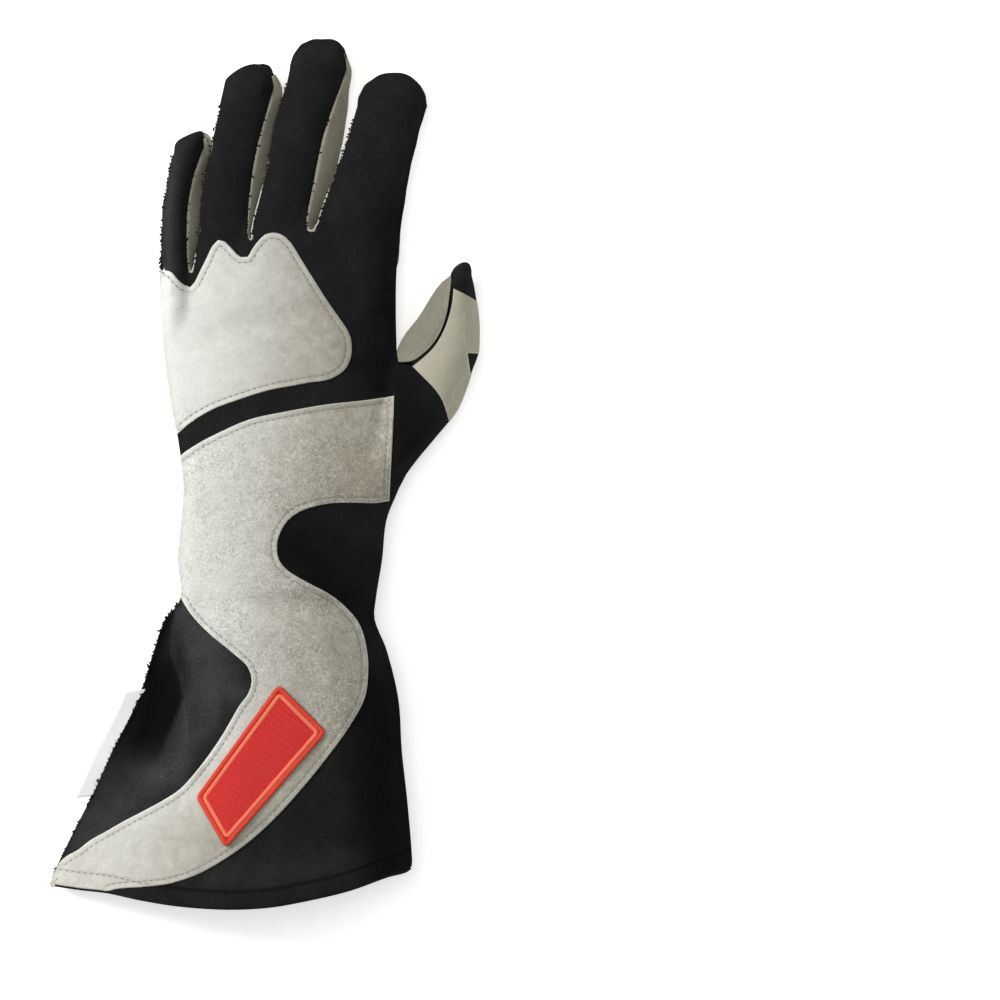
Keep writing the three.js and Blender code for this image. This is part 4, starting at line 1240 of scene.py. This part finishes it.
class GloveSettings(bpy.types.PropertyGroup):
    """Sizes and colours of the glove."""

    cloth_wall: length_setting(
        "Cloth thickness", "Thickness of the panels", 0.0013, 0.0008, 0.002
    )
    suede_wall: length_setting(
        "Suede thickness", "Thickness of the patches", 0.0011, 0.0006, 0.0014
    )
    stitch_pitch: length_setting(
        "Stitch pitch", "Distance from stitch to stitch on the patches", 0.0029, 0.002, 0.005
    )
    cloth_color: color_setting("Cloth colour", "Black cloth", (0.0086, 0.0086, 0.0088))
    # The suede's colours on its lit side and its shaded side, blended by painted light
    suede_lit_side: color_setting("Suede, lit nap", "Grey suede brushed up", (0.60, 0.60, 0.565))
    suede_shaded_side: color_setting(
        "Suede, laid nap", "Grey suede brushed down", (0.29, 0.275, 0.218)
    )
    badge_color: color_setting("Badge colour", "Red thread", (0.66, 0.028, 0.024))
    floor_color: color_setting("Floor colour", "Pale floor", (0.95, 0.95, 0.95))


def settings():
    return bpy.context.scene.glove


def color(name):
    return tuple(getattr(settings(), name))


# Pieces


def hem_fold(height, facing):
    """The cloth turned up along the cuff's mouth, with a rounded fold."""
    section, track = smooth_line(HEM_SECTION, 0.7), Track(HEM_LINE)

    def place(u, v):
        at = mix(0.8, track.size - 0.8, u)
        s = v * (len(section) - 1)
        out, down = (np.interp(s, np.arange(len(section)), section[:, k]) for k in (0, 1))
        z = height(*track.beside(at, np.minimum(out, -0.2)))
        return np.column_stack([*track.beside(at, out), z - facing * down])

    bm = lofted(120, len(section) - 1, place)
    if facing < 0:
        bmesh.ops.reverse_faces(bm, faces=bm.faces[:])
    return bm


class GLOVE_OT_back(bpy.types.Operator):
    """Make the back panel with its wrap under the thumb, and the hem"""

    bl_idname = "glove.back"
    bl_label = "Back panel"

    def execute(self, context):
        top = cut_sheet(ragged(back_plan()), back_height, drop=0.25, step=1.5)
        wrap = cut_sheet(thumb_wrap_plan(), palm_height, facing=-1)
        back = piece(
            "back_cloth", joined(top, wrap, weld=0.02), "napped_cloth",
            ["back_panel"], settings().cloth_wall / MM,
        )
        # Painted light and shade for the back's cloth, in stops, kept on each point
        record(back, hem=off(HEM_LINE), nap=cloth_painted_light)
        hem = piece("back_hem", hem_fold(back_height, 1), "napped_cloth")
        return {"FINISHED"}


class GLOVE_OT_palm_side(bpy.types.Operator):
    """Make the palm panel, the thumb's front and the cuff's palm side"""

    bl_idname = "glove.palm_side"
    bl_label = "Palm side"

    def execute(self, context):
        wall = settings().cloth_wall / MM
        palm = piece(
            "palm_suede_panel", cut_sheet(palm_plan(), palm_height, facing=-1), "palm_suede",
            ["palm_panel"], wall,
        )
        record(palm, edge=off(closed(palm_plan())), brushed=0.5, hair=0.5)
        cuff = piece(
            "cuff_palm_cloth", cut_sheet(cuff_plan(), palm_height, facing=-1), "napped_cloth",
            ["cuff_palm_panel"], wall,
        )
        record(cuff, hem=off(HEM_LINE))
        hem = piece("palm_hem", hem_fold(palm_height, -1), "napped_cloth")
        top = cut_sheet(thumb_front_top_plan(), back_height, rim=(0.3,))
        under = cut_sheet(thumb_front_under_plan(), palm_height, facing=-1, rim=(0.3,))
        # The thumb's front is made of the darker copy of its suede, painted shade
        front = piece(
            "thumb_suede_front", joined(top, under, weld=0.02), "thumb_front_suede",
            ["thumb_front"], wall,
        )
        record(front, edge=off(GUSSET_LINE, THUMB_TOP_LINE, THUMB_LINE), brushed=0.5, hair=0.4)
        return {"FINISHED"}


def strip_cap(limb, column):
    """The first stretch of a finger's inner edge, down from near its tip."""
    end, (tip_x, tip_y) = limb.rows["y"][-1], limb.tip
    turn = np.radians(np.linspace(30, 0, 5))[:-1]
    x = mix(tip_x, along(limb.rows, end, column), np.cos(turn))
    return np.column_stack([x, mix(end, tip_y, np.sin(turn))])


def strip_path(left, right, crotch, far):
    """Down one finger's inner edge and up the next one's, sunk in at the second tip."""
    turn_y = crotch[1] + 3
    side = edge_line(left.rows, "right", left.rows["y"][-1], turn_y, 2.2)
    down = chain(strip_cap(left, "right"), side) - (STRIP_INSET, 0)
    cap = strip_cap(right, "left")[::-1]
    sunk = cap + np.outer(np.linspace(0.25, 1, len(cap)), (0.8, -0.6))
    side = edge_line(right.rows, "left", turn_y, right.rows["y"][-1], 2.2)
    up = chain(side, sunk) + (far, 0)
    bottom = [(mix(down[-1][0], up[0][0], t), crotch[1] - STRIP_INSET) for t in (0.2, 0.8)]
    return chain(down, bottom, up)


class GLOVE_OT_fourchettes(bpy.types.Operator):
    """Make the suede strips that close the sides of the fingers"""

    bl_idname = "glove.fourchettes"
    bl_label = "Finger strips"

    def execute(self, context):
        names = list(FINGERS)
        for i, (left, right) in enumerate(zip(names, names[1:])):
            self.strip(left, right, CROTCHES[i + 1])
        edges = [self.cut_edge(i + 1, names[i + 1]) for i in range(len(names) - 1)]
        piece("finger_strip_edges", joined(*edges), "cut_suede")
        return {"FINISHED"}

    def strip(self, left, right, crotch):
        """One strip, from its palm-side edge up to its back edge."""
        low, high = (
            even(strip_path(FINGERS[left][side], FINGERS[right][side], crotch, far), STRIP_POINTS)
            for side, far in (("palm", 0.5), ("back", 1.3))
        )
        share = np.linspace(0, 1, STRIP_POINTS)
        tip = (smooth(0, 0.05, share) * smooth(1, 0.95, share))[:, None]
        low = mix(high - (0.3, 0), low, mix(0.25, 1, tip))
        z_high = back_height(*high.T) - 1.0 - 1.8 * smooth(0.93, 1, share)
        z_low = np.minimum(palm_height(*low.T) + 0.4, z_high - 0.3)
        ahead = unit(np.gradient((low + high) / 2, axis=0))
        columns = np.column_stack([low, z_low, high, z_high, ahead]).T

        def place(u, v):
            at = u * (STRIP_POINTS - 1)
            read = np.array([np.interp(at, np.arange(STRIP_POINTS), c) for c in columns])
            x, y, z = mix(read[:3], read[3:6], v)
            puff = mix(0.8, 0.3, smooth(0.46, 0.54, u)) * np.sin(np.pi * v) ** 0.7
            puff = puff + 0.3 * mottle(y, z, 7, 11) * (v < 0.95)
            return np.column_stack([x - read[7] * puff, y + read[6] * puff, z])

        strip = piece(
            f"finger_strip_{left}_{right}", lofted(STRIP_POINTS * 2, 7, place), "palm_suede",
            [f"fourchette_{left}_{right}"], 1.0,
        )
        record(strip, edge=8, brushed=0.4, hair=0.3)

    def cut_edge(self, i, name):
        """The pale raw edge of a strip, from the slot's end up the next finger."""
        root = CROTCHES[i][1]
        side = edge_line(
            FINGERS[name]["back"].rows, "left", root + 3.4, root + CUT_EDGE_RISES[i - 1], 2.0
        )
        path = shift(chain(slot_end(i)[::-1], side), -0.45, 0.35)

        def swell(u, at, angle):
            return (0.36 * np.clip(np.minimum(u, 1 - u) * 9, 0.05, 1),) * 2

        return tube(path, raised(back_height, -0.8), 0.5, 8, swell)


def patch_height(edges, lift):
    """A patch's outer height: pulled down along its stitches and a little puffed inside."""

    def height(x, y):
        edge = off(*edges)(x, y)
        puff = 0.35 * smooth(PATCH_STITCH, PATCH_STITCH + 7, edge)
        pull = 0.18 * np.exp(-(((edge - PATCH_STITCH) / 0.9) ** 2))
        return back_height(x, y) + lift + puff - pull

    return height


def back_patch_ring(points):
    """A back patch's outline, kept inside the glove's own edge."""
    x, y = patch_ring(points).T
    x = np.maximum(x, np.where(y > 30, -55.0, along(TRUNK, y, "left")) - 0.15)
    y = np.maximum(y, np.interp(x, *HEM_LINE.T) + 0.2)
    return spaced(np.column_stack([x, y]))


def patch_edges(ring):
    """The edges of a back patch that aren't caught in the side seam or the hem."""
    return free_runs(ring, LEFT_SIDE, HEM_LINE, edge_line(TRUNK, "left", 45, -60))


def outer_side(high, low):
    """The thumb's outer fold from one height of y down to a lower one."""
    ys = np.concatenate([[high], OUTER_EDGE[::-1, 1], [low]])
    ys = ys[(ys <= high) & (ys >= low)]
    return np.column_stack([np.interp(ys, OUTER_EDGE[:, 1], OUTER_EDGE[:, 0]), ys])


def thumb_patch_ring():
    (high, notch_top, _), (notch_end, low, _) = THUMB_LOBES
    upper, lower = outer_side(high, notch_top), outer_side(notch_end, low)
    top = smooth_line([*THUMB_PATCH_TOP, upper[0]])[:-1]
    heel = smooth_line([lower[-1], *THUMB_PATCH_HEEL])[1:-1]
    back = smooth_line(THUMB_PATCH_BACK)[:-1]
    return chain(top, upper, THUMB_PATCH_NOTCH, lower, heel, back)


class GLOVE_OT_patches(bpy.types.Operator):
    """Make the suede patches of the back, the thumb and the palm"""

    bl_idname = "glove.patches"
    bl_label = "Suede patches"

    def execute(self, context):
        wall = settings().suede_wall / MM
        facts = (
            ("knuckle_suede_patch", KNUCKLE_PATCH, "knuckle_patch", (0.092, 0.102), 0.0053),
            ("wrist_suede_patch", WRIST_PATCH, "wrist_patch", (0.165, 0.23), 0.0152),
        )
        for name, points, node, flat, area in facts:
            ring = back_patch_ring(points)
            edges = patch_edges(ring)
            sheet = cut_sheet(ring, patch_height(edges, PATCH_LIFT), drop=0.45, rim=(0.5, 1, 0.8))
            patch = piece(name, sheet, "back_suede", [node], wall)
            # Painted light on the patches' suede, kept on each point
            record(
                patch, edge=off(*edges), brushed=painted_suede_light, hair=fibre_share, hem=off(HEM_LINE)
            )
        self.thumb(wall)
        self.palm(wall)
        return {"FINISHED"}

    def thumb(self, wall):
        """Suede over the thumb's outer side, with two lobes that reach under it."""
        ring = thumb_patch_ring()
        parts, lobes = [cut_sheet(ring, back_height, rim=(0.3,))], []
        for high, low, reach in THUMB_LOBES:
            side = outer_side(high, low)
            t = np.linspace(0, math.pi, 16)[1:-1]
            y = mix(low, high, (1 - np.cos(t)) / 2)
            x = np.interp(y, side[::-1, 1], side[::-1, 0]) - reach * np.sin(t) ** 0.8
            lobes.append(np.column_stack([x, y]))
            lobe = chain(side, lobes[-1])
            parts.append(cut_sheet(lobe, palm_height, facing=-1, rim=(0.3,)))
        bm = joined(*parts, weld=0.05)
        bm.normal_update()
        for v in bm.verts:
            v.co += v.normal * Vector((0.2, 0.2, 0.75))
        patch = piece(
            "thumb_suede_patch", bm, "thumb_patch_suede", ["thumb_patch"], wall
        )
        record(patch, edge=off(*free_runs(ring, OUTER_EDGE), *lobes), brushed=0.5, hair=0.35)

    def palm(self, wall):
        """The black grip patch, pressed flat where it lies on the floor."""
        ring = patch_ring(PALM_PATCH)
        edge = off(closed(ring))

        def height(x, y):
            pull = 0.3 * np.exp(-(((edge(x, y) - 3) / 1.1) ** 2))
            return np.maximum(palm_height(x, y) - 1.2 + pull, 0.0)

        patch = piece(
            "palm_suede_patch", cut_sheet(ring, height, facing=-1, drop=0.4), "dark_suede",
            ["palm_patch"], wall,
        )
        record(patch, edge=edge, brushed=0.5, hair=0.6)


def badge_ring(inset, corner=1.6):
    """The badge's outline, moved in; each corner is rounded by a short curve."""
    points = np.array(BADGE)
    back = unit(np.roll(points, 1, 0) - points)
    ahead = unit(np.roll(points, -1, 0) - points)
    opening = abs(back[:, 0] * ahead[:, 1] - back[:, 1] * ahead[:, 0])
    points = points + (back + ahead) * (inset / opening)[:, None]
    t = np.linspace(0, 1, 7)[:, None]
    ring = [p + corner * (b * (1 - t) ** 2 + a * t**2) for p, b, a in zip(points, back, ahead)]
    return even(closed(chain(*ring)), 240)[:-1]


def cord(path, radius, rise, height):
    """A round of thread wound over a closed path."""

    def swell(u, at, angle):
        thick = 1 + 0.09 * np.sin(2 * np.pi * at / 0.85 + 1.4 * np.cos(angle))
        return radius * thick, rise * thick

    return tube(path, height, 0.22, 10, swell)


class GLOVE_OT_badge(bpy.types.Operator):
    """Make the plain embroidered badge and the blank side label"""

    bl_idname = "glove.badge"
    bl_label = "Badge and label"

    def execute(self, context):
        face = cut_sheet(badge_ring(1.6), raised(back_height, 2.6))
        face = piece("badge_field", face, "badge_rows", ["badge"], 1.2)
        border = cord(closed(badge_ring(1.2)), 1.25, 0.95, raised(back_height, 2.25))
        border = piece("badge_rim", border, "badge_rim_thread")
        line = cord(closed(badge_ring(3.3)), 0.95, 0.5, raised(back_height, 2.55))
        line = piece("badge_line", line, "badge_line_thread")
        self.label()
        return {"FINISHED"}

    def label(self):
        """A folded strip of satin held in the cuff's side seam."""

        def place(u, v):
            y = mix(LABEL_TOP, LABEL_END, u)
            out = np.where(v < 0.5, v * 2, 2 - v * 2)
            reach = LABEL_REACH * np.clip(out / 0.84, 0, 1)
            lift = 0.45 * np.cos(np.pi * np.clip((v - 0.42) / 0.16, 0, 1))
            wave = 0.5 * np.sin(y / 9.0) * out
            x = along(TRUNK, y, "left") + 1.6 - reach - 1.6 * out
            z = along(TRUNK, y, "seam_left") + lift - 1.4 * out + wave
            return np.column_stack([x, y - 1.6 * out, z])

        label = piece(
            "side_label_satin", lofted(60, 24, place), "white_satin",
            ["side_label"], 0.3,
        )


def bent_thread(sides, radius, degrees, steps):
    """A short thread bent round a circle of one millimetre."""
    bm = bmesh.new()
    ring = Matrix.Translation((1.0, 0, 0)) @ Matrix.Rotation(QUARTER_TURN, 4, "X")
    bmesh.ops.create_circle(bm, segments=sides, radius=radius, matrix=ring)
    bmesh.ops.spin(
        bm, geom=bm.verts[:] + bm.edges[:], cent=(0, 0, 0), axis=(0, 0, 1),
        angle=math.radians(degrees), steps=steps,
    )
    return bm


def raw_edges():
    """Where the raw edges are sewn over: a line, its height, the loops' depth and the fuzz."""
    seam = lambda x, y: (back_height(x, y) + palm_height(x, y)) / 2
    back, under = raised(back_height, -0.7), raised(palm_height, 0.2)
    little = FINGERS["little"]["back"].rows
    lines = [
        (edge_line(little, "left", 90, 35), seam, 1.5, 1.3),
        (LEFT_SIDE[LEFT_SIDE[:, 1] < -112], seam, 1.4, 1.3),
        (shift(THUMB_LINE[2:], -0.4, 0), under, 0.7, 0.7),
    ]
    all_rows = [sides["back"].rows for sides in FINGERS.values()]
    roots = [y + 2 for x, y in CROTCHES[1:-1]]
    inner = [
        edge_line(rows, "right", root, rows["y"][-1] - 8, 2.0)
        for rows, root in zip(all_rows, roots)
    ] + [
        edge_line(rows, "left", rows["y"][-1] - 6, root, 2.0)
        for rows, root in zip(all_rows[1:], roots)
    ]
    return lines + [(line, back, 0.7, 1.0) for line in inner]


class GLOVE_OT_stitching(bpy.types.Operator):
    """Sew the pieces: rows of stitches, serged edges and the wrist's zigzag"""

    bl_idname = "glove.stitching"
    bl_label = "Stitching"

    def execute(self, context):
        hem = shift(HEM_LINE, 0, HEM_STITCH)
        rows = []
        for points in (KNUCKLE_PATCH, WRIST_PATCH):
            ring = back_patch_ring(points)
            edges = patch_edges(ring)
            rows.append((inset_line(ring, PATCH_STITCH), patch_height(edges, PATCH_LIFT), edges))
        rows.append((hem[hem[:, 0] < -57], patch_height(edges, PATCH_LIFT + 0.05)))
        sew("patch_stitches", (1.9, 0.5, 0.4), "grey_thread", rows)
        line = inset_line(patch_ring(PALM_PATCH), PATCH_STITCH)
        rows = [(line, raised(palm_height, -1.0))]
        sew("palm_patch_stitches", (1.9, 0.5, 0.4), "black_thread", rows)
        lines = [finger_line(name, "palm", 62, 62, grow=-1.9) for name in FINGERS]
        rows = [(line, palm_height, (), -0.05, 2.7) for line in lines] + [
            (shift(GUSSET_LINE, -0.2, 0.2), palm_height, (), 0.1, 2.6),
            (shift(WRIST_LINE, 0, 1.6), palm_height, (), -0.05, 3.0),
        ]
        sew("palm_seam_stitches", (2.3, 0.7, 0.5), "black_thread", rows)
        sides = ((back_height, -0.1), (palm_height, 0.1))
        rows = [(hem[2:-2], height, (), lift, 3.3) for height, lift in sides]
        sew("hem_stitches", (2.6, 0.5, 0.35), "black_thread", rows)
        xs = np.arange(-29, 17, 3.2)
        corners = [(x, -72.7 if k % 2 else -81.4) for k, x in enumerate(xs)]
        rows = [(np.array(corners), palm_height, (), -0.1, 2.0)]
        sew("wrist_zigzag", (1.9, 0.6, 0.5), "grey_thread", rows)
        self.serging()
        return {"FINISHED"}

    def serging(self):
        """Short loops of thread over the raw edges, with loose fibres."""
        loop = bent_thread(5, 0.36, 230, 6)
        for degrees, axis in ((-115, "Z"), (90, "X")):
            turn = Matrix.Rotation(math.radians(degrees), 3, axis)
            bmesh.ops.rotate(loop, cent=(0, 0, 0), matrix=turn, verts=loop.verts[:])
        loops = Copies(loop)
        fibre = bent_thread(3, 0.07, 80, 3)
        bmesh.ops.translate(fibre, vec=(-1, 0, 0), verts=fibre.verts[:])
        fibres = Copies(fibre)
        lean = Matrix.Rotation(-QUARTER_TURN, 4, "Z")
        rng = np.random.default_rng(4)
        for line, middle, depth, dense in raw_edges():
            points, headings = along_line(line, 1.45)
            for (x, y), z, heading in zip(points, middle(*points.T), headings):
                size = rng.uniform(0.4, 1.2)
                turn = Matrix.Rotation(heading - QUARTER_TURN + rng.normal(0, 0.8), 4, "Z")
                inward = (-0.5 + rng.normal(0, 0.3), rng.normal(0, 0.4), 0)
                shape = Matrix.Diagonal((size, 1.2, depth * size, 1))
                at = Matrix.Translation((x, y, z))
                loops.add(at @ turn @ Matrix.Translation(inward) @ shape)
            points, headings = along_line(line, 0.3 / dense)
            for (x, y), z, heading in zip(points, middle(*points.T), headings):
                turn = Matrix.Rotation(heading - QUARTER_TURN + rng.normal(0, 0.7), 4, "Z")
                tilt = Matrix.Rotation(rng.uniform(-0.9, 0.9), 4, "Y")
                twist = Matrix.Rotation(rng.uniform(-3, 3), 4, "X")
                size = rng.gamma(3.0, 0.15)
                at = Matrix.Translation((x, y, z + rng.uniform(-0.7, 0.7) * depth))
                shape = Matrix.Diagonal((size, size, 1, 1))
                fibres.add(at @ turn @ tilt @ twist @ lean @ shape)
        piece("serged_edges", loops.bm, "black_thread")
        piece("loose_fibres", fibres.bm, "black_thread")


class GLOVE_OT_stage(bpy.types.Operator):
    """Set up the pale floor, the soft lights and the camera above the glove"""

    bl_idname = "glove.stage"
    bl_label = "Stage"

    def execute(self, context):
        scene = context.scene
        bm = bmesh.new()
        bmesh.ops.create_grid(bm, x_segments=4, y_segments=4, size=FLOOR_SIZE)
        bmesh.ops.translate(bm, vec=(0, 0, FLOOR_LEVEL), verts=bm.verts[:])
        floor = placed("floor", mesh_of("floor", bm))
        floor.data.materials.append(made_of("floor_paper"))
        for name, (place, size, power) in LIGHTS.items():
            data = bpy.data.lights.new(name, "AREA")
            data.shape, data.size, data.energy = "DISK", size, power
            lamp = placed(name, data)
            lamp.location = place
            aim = LIGHTS_AIM - Vector(place)
            lamp.rotation_euler = aim.to_track_quat("-Z", "Y").to_euler()
        world = bpy.data.worlds.new("studio")
        world.use_nodes = True
        background = world.node_tree.nodes["Background"]
        background.inputs["Color"].default_value = (1, 1, 1, 1)
        background.inputs["Strength"].default_value = 0.40
        scene.world = world
        data = bpy.data.cameras.new("camera")
        data.lens, data.sensor_width, data.clip_end = CAMERA_LENS, CAMERA_SENSOR, 20
        scene.camera = placed("camera", data)
        scene.camera.location = CAMERA_PLACE
        scene.view_settings.view_transform = "Standard"
        return {"FINISHED"}


class GLOVE_PT_panel(bpy.types.Panel):
    """The glove's sizes and colours, and the steps that make it"""

    bl_label = "Racing glove"
    bl_idname = "GLOVE_PT_panel"
    bl_space_type = "VIEW_3D"
    bl_region_type = "UI"
    bl_category = "Glove"

    def draw(self, context):
        for name in GloveSettings.__annotations__:
            self.layout.prop(context.scene.glove, name)
        for operator in OPERATORS:
            self.layout.operator(operator.bl_idname)


OPERATORS = (
    GLOVE_OT_back,
    GLOVE_OT_palm_side,
    GLOVE_OT_fourchettes,
    GLOVE_OT_patches,
    GLOVE_OT_badge,
    GLOVE_OT_stitching,
    GLOVE_OT_stage,
)
CLASSES = (GloveSettings, *OPERATORS, GLOVE_PT_panel)


def register():
    for cls in CLASSES:
        bpy.utils.register_class(cls)
    bpy.types.Scene.glove = PointerProperty(type=GloveSettings)


def unregister():
    del bpy.types.Scene.glove
    for cls in reversed(CLASSES):
        bpy.utils.unregister_class(cls)


def main():
    register()
    bpy.ops.glove.back()
    bpy.ops.glove.palm_side()
    bpy.ops.glove.fourchettes()
    bpy.ops.glove.patches()
    bpy.ops.glove.badge()
    bpy.ops.glove.stitching()
    bpy.ops.glove.stage()


if __name__ == "__main__":
    main()
